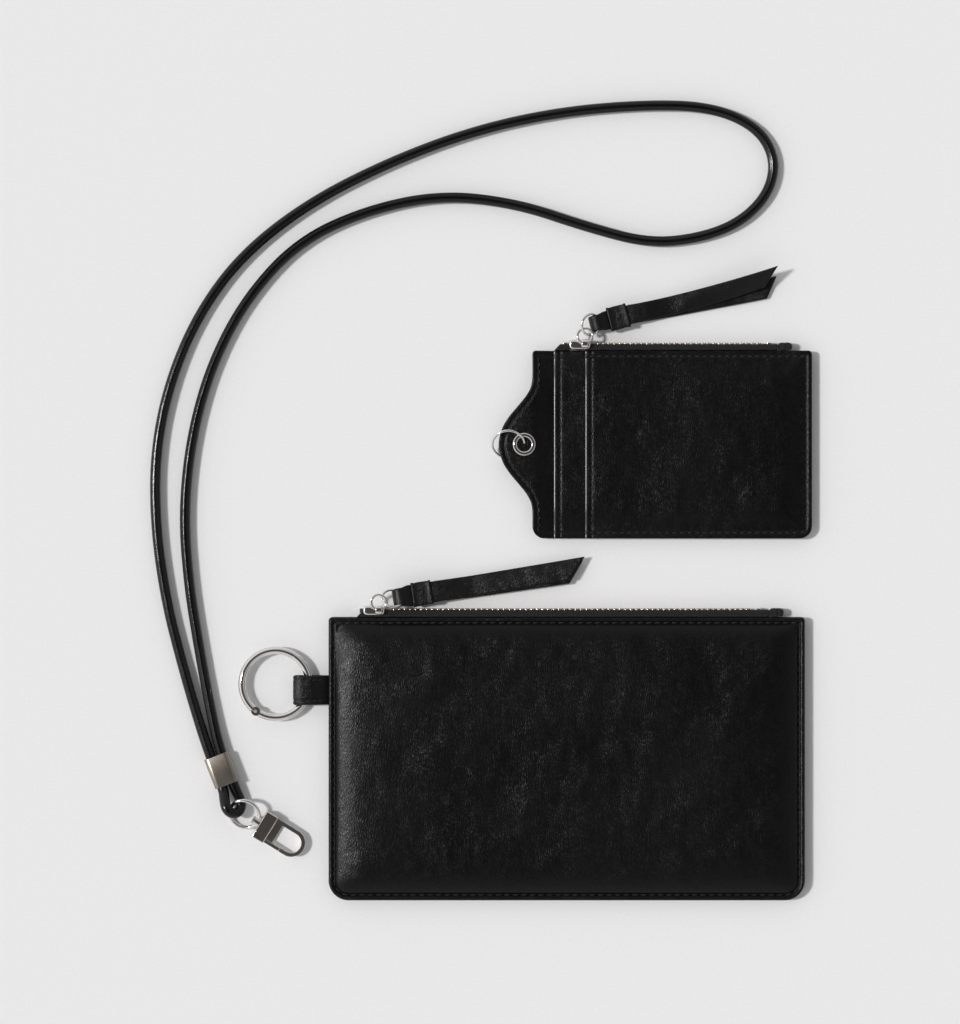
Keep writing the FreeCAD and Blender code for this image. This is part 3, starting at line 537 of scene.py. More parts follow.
def make_pouch():
    x, y, depth = pouch_grid(0, 1.25)
    top = pouch_crown(x, y, depth)
    mouth = smooth((y - POUCH[3] + 10) / 2) * (np.abs(x) < 88)
    rim_low = RIM_MEET + 0.02 + mouth * 0.5
    inner = smooth((depth - TURNED_EDGE) / 0.5)
    bottom = rim_low * (1 - inner) + (top - LEATHER) * inner
    front = sheet_object("pouch_front_leather", x, y, *rolled(top, bottom, depth, 0.95), BLACK_LEATHER)
    settle(front, "pouch", "leather", "pouch_front_panel")

    underside = 0.6 * bump(depth, SEAM_INSET, 0.5) + 0.03 * np.abs(ripple(x, y, 5, 3.0))
    rim_high = RIM_MEET - 0.02 - mouth * 0.5
    top = rim_high * (1 - inner) + (underside + LEATHER) * inner
    back = sheet_object("pouch_back_leather", x, y, *rolled(top, underside, depth, 0.95), BLACK_LEATHER)
    settle(back, "pouch", "leather", "pouch_back_panel")

    x, y, depth = pouch_grid(LINING_INSET, 2.5)
    under_front = pouch_crown(x, y, depth) - LEATHER - 0.05
    for side, high in (("front", under_front), ("back", np.full_like(x, LEATHER + 0.35))):
        low = high - 0.22
        edge = (depth - LINING_INSET) <= 1e-6
        low[edge] = high[edge]
        cloth = sheet_object("pouch_lining_" + side, x, y, high, low, LINING)
        settle(cloth, "pouch", "lining", "pouch_%s_lining" % side)


make_pouch()


# ---- stitches ----
def path_stations(path, pitch):
    """Points and directions at even steps along an open line."""
    line = [Vector(p) for p in path]
    travelled = [0.0]
    for a, b in zip(line, line[1:]):
        travelled.append(travelled[-1] + (b - a).length)
    out = []
    count = int(travelled[-1] / pitch)
    gap = (travelled[-1] - count * pitch) / 2 + pitch / 2
    k = 0
    for i in range(count):
        s = gap + i * pitch
        while k < len(line) - 2 and travelled[k + 1] < s:
            k += 1
        t = (s - travelled[k]) / (travelled[k + 1] - travelled[k])
        out.append((line[k].lerp(line[k + 1], t), (line[k + 1] - line[k]).normalized()))
    return out


def stitch_points(centre, along, out_dir, long, radius):
    """One stitch: a short thread that rises out of the leather, lies on it and dips back in."""
    rings = 7
    sides = 6
    side = along.cross(out_dir).normalized()
    points = []
    for i in range(rings):
        t = -1 + 2 * i / (rings - 1)
        arch = radius * (0.75 - 1.5 * t ** 4)
        r = radius * (1 - 0.55 * t ** 6)
        here = centre + along * (t * long / 2) + out_dir * arch
        points += [here + side * (c * r) + out_dir * (s * r) for c, s in circle(sides)]
    return points, loft_faces(rings, sides)


def stitch_row(name, runs, body, *nodes, pitch=3.4, long=2.5, radius=0.24):
    """Rows of stitches as one piece. Each run is a line and the direction its leather faces."""
    points = []
    faces = []
    for path, out_dir in runs:
        for i, (centre, along) in enumerate(path_stations(path, pitch)):
            swing = 0.05 * math.sin(i * 2.4)
            turned = (Matrix.Rotation(0.05 + 0.03 * math.sin(i * 1.7), 3, out_dir) @ along).normalized()
            stitch = stitch_points(centre + out_dir * swing * 0.4, turned, out_dir, long + swing, radius)
            add_part(points, faces, *stitch)
    return settle(new_object(name, points, faces, THREAD), body, "thread", *nodes)


def outline_path(box, inset, low_r, top_r, z, arc=8):
    """Closed line inside a rounded rectangle, starting and ending at the middle of its top edge."""
    x0, x1, y0, y1 = box[0] + inset, box[1] - inset, box[2] + inset, box[3] - inset
    low = max(low_r - inset, 0.3)
    top = max(top_r - inset, 0.3)
    corners = ((x1 - top, y1 - top, top, 90), (x1 - low, y0 + low, low, 0),
               (x0 + low, y0 + low, low, -90), (x0 + top, y1 - top, top, -180))
    middle = ((x0 + x1) / 2, y1, z)
    path = [middle]
    for cx, cy, r, start in corners:
        for k in range(arc + 1):
            a = math.radians(start - 90 * k / arc)
            path.append((cx + r * math.cos(a), cy + r * math.sin(a), z))
    return path + [middle]


DOWN = Vector((0, 0, -1))
FRONT_THREAD_Z = RIM_TOP - 0.62 - 0.12
BACK_THREAD_Z = 0.62
pouch_seam = [(outline_path(POUCH, SEAM_INSET, POUCH_CORNER, POUCH_TOP_CORNER, z), out_dir)
              for z, out_dir in ((FRONT_THREAD_Z, UP), (BACK_THREAD_Z, DOWN))]
stitch_row("pouch_stitches", pouch_seam, "pouch", "pouch_seam_thread")


# ---- zips ----
def islands(node):
    """Centre and half-size of each separate solid of a CAD node, in millimetres."""
    bm = bmesh.new()
    bm.from_mesh(frame["nodes"][node].data)
    bmesh.ops.remove_doubles(bm, verts=bm.verts, dist=1e-7)
    left = set(bm.verts)
    found = []
    while left:
        stack = [left.pop()]
        group = []
        while stack:
            v = stack.pop()
            group.append(v.co.copy() / MM)
            for e in v.link_edges:
                other = e.other_vert(v)
                if other in left:
                    left.remove(other)
                    stack.append(other)
        low = Vector([min(p[i] for p in group) for i in range(3)])
        high = Vector([max(p[i] for p in group) for i in range(3)])
        found.append(((low + high) / 2, (high - low) / 2))
    bm.free()
    return sorted(found, key=lambda f: f[0].x)


def make_teeth(prefix, side, body):
    """Stamped teeth: rounded blocks with a pinched waist and a nib on the crest."""
    node = "%s_zip_teeth_%s" % (prefix, side)
    template = bmesh.new()
    bmesh.ops.create_cube(template, size=2.0)
    bmesh.ops.subdivide_edges(template, edges=template.edges[:], cuts=2, use_grid_fill=True)
    shape = []
    for v in template.verts:
        x, y, z = v.co
        waist = 1 - 0.22 * math.exp(-((y + 0.1) / 0.35) ** 2)
        round_off = 1 - 0.16 * (abs(x) ** 6 + abs(z) ** 6) / 2
        shape.append(Vector((x * waist * round_off, y * (1 - 0.10 * abs(x) ** 4), z * round_off)))
    quads = [tuple(v.index for v in f.verts) for f in template.faces]
    template.free()
    points = []
    faces = []
    for i, (centre, half) in enumerate(islands(node)):
        lean = 0.05 * math.sin(i * 1.9)
        tooth = [(centre.x + p.x * half.x + lean * p.y * half.y, centre.y + p.y * half.y,
                  centre.z + p.z * half.z) for p in shape]
        add_part(points, faces, tooth, quads)
    teeth = new_object("%s_teeth_%s" % (prefix, side), points, faces, TEETH)
    modifier = teeth.modifiers.new("round", "SUBSURF")
    modifier.levels = 1
    modifier.render_levels = 1
    settle(teeth, body, "nickel", node)


def make_tape(prefix, side, body, edge_y):
    """Woven tape: it comes out between the rims and folds up beside its row of teeth."""
    node = "%s_zip_tape_%s" % (prefix, side)
    low, high = mm_box(node)
    teeth_low, teeth_high = mm_box("%s_zip_teeth_%s" % (prefix, side))
    sign = 1 if side == "front" else -1
    z_teeth = teeth_high.z if sign > 0 else teeth_low.z
    z_sewn = low.z + 0.2 if sign > 0 else high.z - 0.2
    tape_y = (teeth_low.y + teeth_high.y) / 2
    line = [(edge_y - 8, z_sewn), (edge_y - 3, z_sewn), (edge_y + 0.1, z_sewn),
            (edge_y + 0.5, z_teeth + sign * 0.2), (tape_y - 0.5, z_teeth + sign * 0.5),
            (tape_y + 0.1, z_teeth + sign * 0.15)]
    centre = curve_points(line, 4)
    thick = 0.32
    section = []
    for face in (1, -1):
        order = range(len(centre)) if face > 0 else range(len(centre) - 1, -1, -1)
        for i in order:
            d = heading(centre, i) / np.linalg.norm(heading(centre, i))
            section.append((centre[i][0] - face * d[1] * thick / 2, centre[i][1] + face * d[0] * thick / 2))
    steps = int((high.x - low.x) / 1.1)
    points = []
    for i in range(steps + 1):
        x = low.x + (high.x - low.x) * i / steps
        for y, z in section:
            cut = max(0.0, y - edge_y + 0.4) * 0.95 * max(0.0, 1 - i / 5)
            wave = 0.05 * math.sin(x * 0.9) * (y > edge_y)
            points.append((x + cut, y + wave, z + wave * 0.5))
    tape = new_object("%s_tape_%s" % (prefix, side), points, loft_faces(steps + 1, len(section)), TAPE)
    settle(tape, body, "zip_tape", node)


def softened(node, material, width, body, slot, segments=3, slimmer=1.0):
    """Copy of a CAD node with its edges eased, which stands for the sharp one."""
    bm = bmesh.new()
    bm.from_mesh(frame["nodes"][node].data)
    bmesh.ops.remove_doubles(bm, verts=bm.verts, dist=1e-7)
    bmesh.ops.dissolve_limit(bm, angle_limit=0.01, verts=bm.verts, edges=bm.edges)
    if slimmer != 1.0:
        middle = sum((v.co for v in bm.verts), Vector()) / len(bm.verts)
        bmesh.ops.scale(bm, vec=(slimmer, slimmer, 1.0), space=Matrix.Translation(-middle), verts=bm.verts)
    mesh = bpy.data.meshes.new(node + "_eased")
    bm.to_mesh(mesh)
    bm.free()
    obj = shown(node + "_eased", mesh, material)
    modifier = obj.modifiers.new("ease", "BEVEL")
    modifier.width = width * MM
    modifier.segments = segments
    modifier.limit_method = "ANGLE"
    modifier.angle_limit = math.radians(38)
    modifier.harden_normals = True
    return settle(obj, body, slot, node)


def swept_bar(path, across, half_wide, half_thick):
    """Rounded bar along a line; its width lies along across. Returns its points and faces."""
    sides = 16
    points = []
    for i, here in enumerate(path):
        normal = heading(path, i).normalized().cross(across).normalized()
        end = 0.86 if i in (0, len(path) - 1) else 1.0
        for c, s in circle(sides):
            u = squared(c, 0.45) * half_wide * end
            v = squared(s, 0.45) * half_thick * end
            points.append(here + across * u + normal * v)
    return points, loft_faces(len(path), sides)


def make_slider(prefix, body):
    """Die-cast slider: a channel that saddles the teeth, rounded noses, and an arch for the loop."""
    node = prefix + "_zip_slider"
    low, high = mm_box(node)
    hole = Vector(joints[prefix + "_loop_lift"]["pos_m"]) / MM
    face_z = hole.z - 1.0
    mid_z = (low.z + face_z) / 2
    half = face_z - mid_z
    wall = 0.62
    corner = 1.25
    inner_y = high.y - 0.7
    outer = []
    for k in range(9):
        a = math.pi / 2 * (1 - k / 8)
        outer.append((high.y - corner + corner * math.cos(a), half - corner + corner * math.sin(a)))
    outer = [(low.y + 0.25, half), (low.y + 1.0, half)] + outer
    outer = [(low.y, half - 0.25)] + outer + [(y, -z) for y, z in outer[::-1]] + [(low.y, 0.25 - half)]
    inner = [(low.y, wall + 0.1 - half), (inner_y, wall - half), (inner_y, half - wall),
             (low.y, half - wall - 0.1)]
    section = outer + inner
    stations = 15
    points = []
    for i in range(stations):
        t = -1 + 2 * i / (stations - 1)
        nose = abs(t) ** 7
        x = (low.x + high.x) / 2 + t * (high.x - low.x) / 2
        for k, (y, z) in enumerate(section):
            outside = k < len(outer)
            draw_in = 0.9 if y < inner_y - 1 else -0.25 * outside
            points.append((x, y + draw_in * nose, mid_z + z * (1 - 0.10 * nose * outside)))
    faces = loft_faces(stations, len(section))
    top = high.z - 0.36
    arch = [Vector((hole.x, hole.y - 1.55, face_z - 0.25)), Vector((hole.x, hole.y - 1.58, face_z + 0.9))]
    for k in range(11):
        a = math.pi * (1 - k / 10)
        arch.append(Vector((hole.x, hole.y - 0.08 + 1.5 * math.cos(a), top - 1.0 + 1.0 * math.sin(a) ** 0.8)))
    arch += [Vector((hole.x, hole.y + 1.42, face_z + 0.9)), Vector((hole.x, hole.y + 1.4, face_z - 0.25))]
    rail = [Vector((x, low.y - 0.15, mid_z)) for x in np.linspace(low.x + 0.1, high.x - 0.1, 6)]
    post = [Vector((low.x + 1.1, y, mid_z)) for y in np.linspace(low.y + 0.1, inner_y + 0.1, 4)]
    add_part(points, faces, *swept_bar(arch, Vector((1, 0, 0)), 1.3, 0.33))
    add_part(points, faces, *swept_bar(rail, UP, 0.9, 0.24))
    add_part(points, faces, *swept_bar(post, UP, 0.2, 0.9))
    settle(new_object(prefix + "_slider_casting", points, faces, NICKEL), body, "nickel", node)


def make_end_tab(prefix, body):
    """The tape's tail, folded over on itself and sewn down past the last tooth."""
    node = prefix + "_zip_end_tab"
    low, high = mm_box(node)
    centre = (low + high) / 2
    half = (high - low) / 2
    rows = 22
    sides = 28
    points = []
    for i in range(rows):
        t = -0.995 + 1.99 * i / (rows - 1)
        close = (1 - abs(t) ** 5) ** 0.4
        fold = 1 - 0.22 * math.exp(-((t - 0.15) / 0.10) ** 2) - 0.16 * math.exp(-((t + 0.55) / 0.09) ** 2)
        for c, s in circle(sides):
            y = squared(c, 0.55) * close
            z = squared(s, 0.6) * close
            lumps = 1 + 0.10 * noise.noise(Vector((t * 2.2, c * 1.3, s * 1.3 + len(prefix))))
            points.append((centre.x + half.x * t, centre.y + half.y * y * lumps,
                           centre.z + half.z * z * fold * lumps))
    tab = new_object(prefix + "_tape_tail", points, loft_faces(rows, sides), TAPE)
    settle(tab, body, "leather", node)


def make_zip(prefix, body, slider_body, edge_y):
    for side in ("front", "back"):
        make_tape(prefix, side, body, edge_y)
        make_teeth(prefix, side, body)
    make_end_tab(prefix, body)
    softened(prefix + "_zip_top_stops", NICKEL, 0.3, body, "nickel")
    softened(prefix + "_zip_bottom_stop", NICKEL, 0.35, body, "nickel")
    make_slider(prefix, slider_body)


case_low, case_high = mm_box("case_pocket_two")
make_zip("pouch", "pouch", "pouch_slider", POUCH[3])
make_zip("case", "card_case", "case_slider", case_high.y)


# ---- pull straps ----
def strap_frame(prefix):
    """Origin at the ring's wire, local y along the swing joint's axis, local x towards the tip."""
    joint = joints[prefix + "_strap_swing"]
    y = Vector(joint["axis"]).normalized()
    x = y.cross(UP).normalized()
    z = x.cross(y)
    origin = Vector(joint["pos_m"]) / MM
    return Matrix(((*x, 0), (*y, 0), (*z, 0), (*origin, 1))).transposed()


STRAP_THICK = 1.0
LEAF_START = 4.2
ACROSS = (-1, -0.985, -0.94, -0.86, -0.74, -0.55, -0.3, 0, 0.3, 0.55, 0.74, 0.86, 0.94, 0.985, 1)


def strap_section(half):
    """Section of a flat strap: rounded edges, a little fuller in the middle."""
    crown = 0.07
    upper = [(f * half, rounded_edge(f * half, half, STRAP_THICK) + crown * (1 - f * f)) for f in ACROSS]
    lower = [(y, -z + 2 * crown * (1 - (y / half) ** 2)) for y, z in upper[-2:0:-1]]
    return upper + lower


# A leaf of a strap: half its width, where its tip is, how far the tip bends and curls aside, how far it
# lifts, how much it rolls about the length (in radians), and how slanted its cut is
Leaf = namedtuple("Leaf", "half tip bend curl lift roll skew")


def make_strap(prefix, body, drop, fold_half, upper, lower):
    """One strip of leather: along the upper leaf, round the ring, and back along the lower leaf."""
    place = strap_frame(prefix)
    rows = []
    for leaf, sign in ((upper, 1), (lower, -1)):
        stations = []
        for x in np.linspace(1.0, 0.0, 46):
            along = leaf.tip * x + LEAF_START * (1 - x)
            fall = -drop * smooth((along - 14) / 16)
            t = np.clip((along - 13) / (leaf.tip - 13), 0, 1)
            side = leaf.bend * t + leaf.curl * t * t
            lift = leaf.lift * t ** 2.2
            stations.append((along, sign * (STRAP_THICK / 2 + 0.04) + fall + lift, side, leaf.half,
                             leaf.roll * t, leaf.skew * smooth((t - 0.45) / 0.55)))
        rows.append(stations)
    eye = [(3.0, 1.15), (1.6, 2.1), (0.1, 2.75), (-1.5, 2.75), (-2.7, 2.0), (-3.3, 0.75)]
    eye = curve_points(eye + [(x, -z) for x, z in eye[::-1]], 3)
    neck = [(x, z, 0.0, fold_half + (upper.half - fold_half) * float(smooth((x + 0.4) / 3.4)), 0.0, 0.0)
            for x, z in eye]
    stations = np.array(rows[0] + neck + rows[1][::-1])
    points = []
    for i, (x, z, side, half, roll, skew) in enumerate(stations):
        step = heading(stations, i)
        d = Vector((step[0], 0, step[1])).normalized()
        normal = Vector((d.z, 0, -d.x))
        for y, n in strap_section(half):
            across = Vector((0, math.cos(roll) * y, math.sin(roll) * y))
            slant = d * (-skew * y / half) if i < len(stations) / 2 else d * (skew * y / half)
            points.append(place @ (Vector((x, side, z)) + across + slant + normal * n))
    faces = loft_faces(len(stations), len(strap_section(half)))
    strap = new_object(prefix + "_strap_leather", points, faces, STRAP_LEATHER)
    settle(strap, body, "leather", prefix + "_pull_strap")


def make_keeper(prefix, body):
    """Band of the same leather round both leaves, with a raised lip at each end and a tack stitch."""
    place = strap_frame(prefix)
    inner_y, inner_z, wall = 4.24, 1.2, 0.5
    start, end = 3.9, 11.9
    profile = [(start, 0.08), (start, 0.42), (start + 0.2, 0.62), (start + 0.7, 0.66), (start + 1.15, 0.44),
               (start + 3.0, 0.52), (end - 3.1, 0.50), (end - 1.2, 0.42), (end - 0.75, 0.66),
               (end - 0.2, 0.62), (end, 0.42), (end, 0.08), (end - 0.2, 0.0), (start + 0.2, 0.0)]
    sides = 40
    points = []
    for x, out in profile:
        for k, (c, s) in enumerate(circle(sides)):
            y = squared(c, 0.22) * (inner_y + out)
            z = squared(s, 0.38) * (inner_z + out)
            sag = 0.08 * math.sin(x * 2.1 + 6 * math.pi * k / sides)
            points.append(place @ Vector((x, y, z + sag * (out > 0))))
    faces = loft_faces(len(profile), sides, closed_rings=True)
    keeper = new_object(prefix + "_keeper_leather", points, faces, STRAP_LEATHER)
    settle(keeper, body, "leather", prefix + "_pull_keeper")
    out_dir = (place.to_3x3() @ UP).normalized()
    along = (place.to_3x3() @ Vector((0.35, 1, 0))).normalized()
    knot = []
    faces = []
    for shift in (-0.27, 0.0, 0.27):
        centre = place @ Vector((7.9 + shift, 0.4, inner_z + wall - 0.05))
        add_part(knot, faces, *stitch_points(centre, along, out_dir, 1.5, 0.27))
    settle(new_object(prefix + "_tack_stitch", knot, faces, THREAD), body, "thread", prefix + "_pull_tack")


make_strap("pouch", "pouch_strap", 1.96, 3.3, Leaf(4.15, 70.8, 0.2, 0.2, 0.9, 0.0, 3.6),
           Leaf(4.15, 70.0, -1.1, 0.2, 0.0, 0.0, 3.4))
make_strap("case", "case_strap", 2.1, 3.1, Leaf(3.75, 70.8, -3.2, 3.6, 4.2, 0.42, 3.5),
           Leaf(3.9, 70.4, -4.2, 0.6, 0.4, 0.05, 3.0))
make_keeper("pouch", "pouch_strap")
make_keeper("case", "case_strap")


# ---- key tab ----
def make_key_tab():
    """Strip folded round the key ring, both ends sewn into the pouch's side seam."""
    low, high = mm_box("key_tab")
    seam_x = POUCH[0]
    line = [(seam_x + 5.2, 2.92), (seam_x + 1.5, 2.95), (seam_x - 0.6, 3.15), (seam_x - 3.0, 4.35),
            (seam_x - 5.6, high.z - 0.75), (seam_x - 8.6, high.z - 0.42), (seam_x - 11.4, high.z - 0.48),
            (seam_x - 13.4, high.z - 1.7), (low.x + 0.42, 3.2), (low.x + 0.85, 1.45), (low.x + 2.4, 0.52),
            (seam_x - 8.0, 0.50), (seam_x - 4.6, 0.8), (seam_x - 2.0, 1.6), (seam_x - 0.4, 2.15),
            (seam_x + 1.5, 2.3), (seam_x + 5.2, 2.32)]
    line = curve_points(line, 5)
    half = (high.y - low.y) / 2
    mid = (high.y + low.y) / 2
    groove_at = half - 1.7
    points = []
    for i, (x, z) in enumerate(line):
        d = heading(line, i) / np.linalg.norm(heading(line, i))
        thick = 0.46 if x > seam_x else 0.46 + 0.34 * float(smooth((seam_x - x) / 2.5))
        section = []
        for y in np.linspace(-1, 1, 25) * half:
            groove = 0.22 * float(bump(abs(y), groove_at, 0.35))
            section.append((y, rounded_edge(y, half, thick) - groove * (thick > 0.6)))
        section += [(y, -n) for y, n in section[-2:0:-1]]
        points += [(x + d[1] * n, mid + y, z - d[0] * n) for y, n in section]
    tab = new_object("key_tab_leather", points, loft_faces(len(line), len(section)), STRAP_LEATHER)
    settle(tab, "pouch", "leather", "key_tab")
    top = [(x, z) for x, z in line if seam_x - 12.6 < x < seam_x - 1.2 and z > 3.4]
    runs = [([(x, mid + s * groove_at, z + 0.30) for x, z in top], UP) for s in (-1, 1)]
    stitch_row("key_tab_stitches", runs, "pouch", pitch=2.6, long=1.9, radius=0.2)


make_key_tab()


# ---- card case ----
CASE_LEFT = -13.8
CASE = (CASE_LEFT, case_high.x, case_low.y, case_high.y)
CASE_CORNER = 5.0
CASE_TOP_CORNER = 1.5
CASE_MID_Y = (CASE[2] + CASE[3]) / 2
RAMP_X = (-12.4, -6.0)
TAB_MID_Z = 4.1
TAB_LEATHER = 0.8
# Half of the tab's outline: distance from the case's middle line, and how far out the edge stands there
BELL = ((0.0, 13.4), (6.4, 12.0), (11.2, 9.2), (16.0, 5.2), (20.8, 1.6), (26.0, 0.0), (40.0, 0.0))
BELL_GRID_TO = -2.0
FAR_INSIDE = 50.0
POCKET_ONE_X = mm_box("case_pocket_one")[0].x
POCKET_TWO_X = case_low.x
bell_curve = np.array(curve_points([(-6.4, 12.0)] + list(BELL), 12))


def bell_out(y):
    """How far the tab's edge stands out of the case's side at height y."""
    return np.interp(np.abs(y - CASE_MID_Y), bell_curve[:, 0], bell_curve[:, 1])


def bell_slope(y):
    return (bell_out(y + 0.2) - bell_out(y - 0.2)) / 0.4


def case_grid(left, step):
    """Grid over the case from a straight cut edge at left, or from the bell-shaped tab if left is None."""
    ys = spread(CASE[2], CASE[3], FINE, FINE, step)
    if left is None:
        edge = CASE[0] - bell_out(ys)
        lean = np.sqrt(1 + bell_slope(ys) ** 2)
        start = edge + FINE[-1] * lean
        columns = [edge + inset * lean for inset in FINE]
        columns += [start + (BELL_GRID_TO - start) * b for b in np.linspace(0, 1, 16)[1:]]
        depths = [np.full_like(ys, inset) for inset in FINE]
        depths += [FINE[-1] + (column - start) for column in columns[len(FINE):]]
        right = spread(BELL_GRID_TO, CASE[1], (0,), FINE, step)[1:]
        columns += [np.full_like(ys, x) for x in right]
        depths += [np.full_like(ys, FAR_INSIDE)] * len(right)
        x = np.stack(columns, axis=1)
        left_depth = np.stack(depths, axis=1)
    else:
        xs = spread(left, CASE[1], CUT_EDGE, FINE, step)
        x = np.tile(xs, (len(ys), 1))
        left_depth = x - left
    y = np.tile(ys[:, None], (1, x.shape[1]))
    seam = np.minimum(CASE[1] - x, np.minimum(y - CASE[2], CASE[3] - y))
    round_corners(x, y, CASE, CASE_CORNER, CASE_TOP_CORNER, (-1, 1) if left is None else (1,))
    return x, y, seam, left_depth


def seam_groove(depth, deep):
    return deep * bump(depth, SEAM_INSET, 0.42)


def bulge(seam, rise):
    """Lift of a layer at a distance from the seam: flat beside it, and full over what lies under."""
    return rise * smooth((seam - 3.4) / 9.0)


def case_layer(name, node, left, low, rise, seed, groove, ramp=None, fill=0.0, wave=0.12, under=0.0):
    """One leather layer of the case, raised in the middle by what lies under it.

    Left is where its cut edge stands; None is for the two layers that run out into the bell-shaped tab,
    where ramp is the height of their underside. Fill thickens the hem, and under is the groove below."""
    x, y, seam, left_depth = case_grid(left, 1.3)
    lift = bulge(seam, rise) + wave * ripple(x, y, 16, seed) * smooth((seam - 5) / 8)
    depth = seam
    if left is None:
        depth = np.minimum(seam, left_depth)
        climb = smooth((RAMP_X[1] + 1.5 - x) / (RAMP_X[1] - RAMP_X[0] + 3.0))
        bottom = low + lift * (1 - climb) + (ramp - low) * climb
        thickness = CASE_LEATHER + (TAB_LEATHER - CASE_LEATHER) * climb
    else:
        bottom = low + lift
        thickness = np.full_like(x, CASE_LEATHER)
    top = bottom + thickness - seam_groove(depth, groove) + 0.02 * ripple(x, y, 3.5, seed + 4)
    if left is not None:
        top = top - 0.22 * bump(left_depth, 2.6, 0.35)
    bottom = bottom - fill * (1 - smooth((depth - TURNED_EDGE) / 0.6)) + seam_groove(depth, under)
    if left is not None:
        top, bottom = rolled(top, bottom, seam, 0.55)
        top, bottom = rolled(top, bottom, left_depth, 0.6)
    else:
        top, bottom = rolled(top, bottom, depth, 0.5)
    # Cut edges take the lighter edge coat, which is partly painted highlight.
    edge_coat_and_highlight = EDGE_PAINT_AND_HIGHLIGHT if left is not None else None
    piece = sheet_object(name, x, y, top, bottom, BLACK_LEATHER, edge_coat_and_highlight, 5)
    return settle(piece, "card_case", "leather", node)


LOW_BASE = 1.7
ONE_LOW = LOW_BASE + CASE_LEATHER
TWO_LOW = LOW_BASE + 2 * CASE_LEATHER
ONE_RISE = 0.95
TWO_RISE = 1.1
case_layer("case_back_leather", "case_back_panel", None, 0.10, 0.0, 2.2, 0.0, ramp=3.3, wave=0.07, under=0.45)
case_layer("case_base_leather", "case_base_panel", None, LOW_BASE, 0.8, 3.1, 0.30, ramp=TAB_MID_Z, fill=0.74)
case_layer("case_pocket_one_leather", "case_pocket_one", POCKET_ONE_X, ONE_LOW, ONE_RISE, 6.3, 0.25)
case_layer("case_pocket_two_leather", "case_pocket_two", POCKET_TWO_X, TWO_LOW, TWO_RISE, 8.4, 0.5)


def make_case_lining():
    xs = np.linspace(-1.0, CASE[1] - 6, 40)
    ys = np.linspace(CASE[2] + 6, CASE[3] - 9, 26)
    x, y = np.meshgrid(xs, ys)
    high = np.full_like(x, 1.32) + 0.04 * ripple(x, y, 12, 4.4)
    low = high - 0.2
    for edge in (np.s_[0, :], np.s_[-1, :], np.s_[:, 0], np.s_[:, -1]):
        low[edge] = high[edge]
    cloth = sheet_object("case_lining_cloth", x, y, high, low, LINING)
    settle(cloth, "card_case", "lining", "case_lining")


make_case_lining()


CASE_UNDER_THREAD_Z = 0.56
SLOT_INSET = 2.6
CASE_PITCH = 3.0
CASE_STITCH = 2.2


def case_stitches():
    """Seam round the case and its tab, and a straight row beside each card slot."""
    top_z = LOW_BASE + 3 * CASE_LEATHER - 0.5 - 0.06
    tab_z = TAB_MID_Z + TAB_LEATHER - 0.30 - 0.05
    loop = outline_path((POCKET_TWO_X - 12, *CASE[1:]), SEAM_INSET, CASE_CORNER, CASE_TOP_CORNER, top_z)
    far_corners = [p for p in loop if p[0] > 60]
    start = (POCKET_TWO_X + 1.0, CASE[3] - SEAM_INSET, top_z)
    end = (POCKET_TWO_X + 1.0, CASE[2] + SEAM_INSET, top_z)
    path = [start, loop[0]] + far_corners + [end]
    under = [(x, y, CASE_UNDER_THREAD_Z) for x, y, z in path]
    edge = []
    for y in np.linspace(CASE[3] - SEAM_INSET, CASE[2] + SEAM_INSET, 60):
        lean = math.sqrt(1 + float(bell_slope(y)) ** 2)
        edge.append((CASE[0] - float(bell_out(y)) + SEAM_INSET * lean, y, tab_z))
    stitch_row("case_seam_stitches", [(path, UP), (under, DOWN), (edge, UP)], "card_case", "case_seam_thread",
               pitch=CASE_PITCH, long=CASE_STITCH)
    ys = np.linspace(CASE[2] + SLOT_INSET, CASE[3] - SLOT_INSET, 40)
    seam = np.minimum(ys - CASE[2], CASE[3] - ys)
    for node, left, low, rise in (("case_pocket_one", POCKET_ONE_X, ONE_LOW, ONE_RISE),
                                  ("case_pocket_two", POCKET_TWO_X, TWO_LOW, TWO_RISE)):
        zs = low + CASE_LEATHER + bulge(seam, rise) - 0.26
        row = [(left + SLOT_INSET, y, z) for y, z in zip(ys, zs)]
        stitch_row(node + "_stitches", [(row, UP)], "card_case", node + "_thread", pitch=CASE_PITCH,
                   long=CASE_STITCH, radius=0.22)


case_stitches()


# ---- eyelet ----
def lathe(name, profile, centre, material):
    """Closed ring turned about +Z from a profile of radius and height points."""
    sides = 64
    points = [(centre[0] + r * c, centre[1] + r * s, z) for c, s in circle(sides) for r, z in profile]
    return new_object(name, points, loft_faces(sides, len(profile), closed_rings=True), material)


def make_eyelet():
    """Stamped eyelet with a rolled lip on top, and the flat washer that it is clenched over."""
    low, high = mm_box("case_eyelet")
    centre = ((low.x + high.x) / 2, (low.y + high.y) / 2)
    flange_r = (high.x - low.x) / 2
    hole_r = 2.75
    top = high.z
    mid = (hole_r + 0.15 + flange_r) / 2
    wide = (flange_r - hole_r - 0.15) / 2
    lip = []
    for k in range(15):
        a = math.pi * (1.0 - k / 14)
        lip.append((mid + wide * math.cos(a), top - 0.36 + 0.42 * math.sin(a) ** 0.8))
    barrel = [(flange_r - 0.2, top - 0.46), (hole_r + 0.25, top - 0.48), (hole_r + 0.22, low.z + 0.1),
              (hole_r, low.z)]
    settle(lathe("case_eyelet_ring", lip + barrel, centre, NICKEL), "card_case", "nickel", "case_eyelet")
    low, high = mm_box("case_eyelet_washer")
    outer = (high.x - low.x) / 2
    ring = [(hole_r + 0.3, low.z + 0.02), (outer - 0.15, low.z), (outer, low.z + 0.12),
            (outer - 0.08, high.z - 0.01), (hole_r + 0.3, high.z - 0.01)]
    settle(lathe("case_eyelet_back", ring, centre, NICKEL), "card_case", "nickel", "case_eyelet_washer")


make_eyelet()

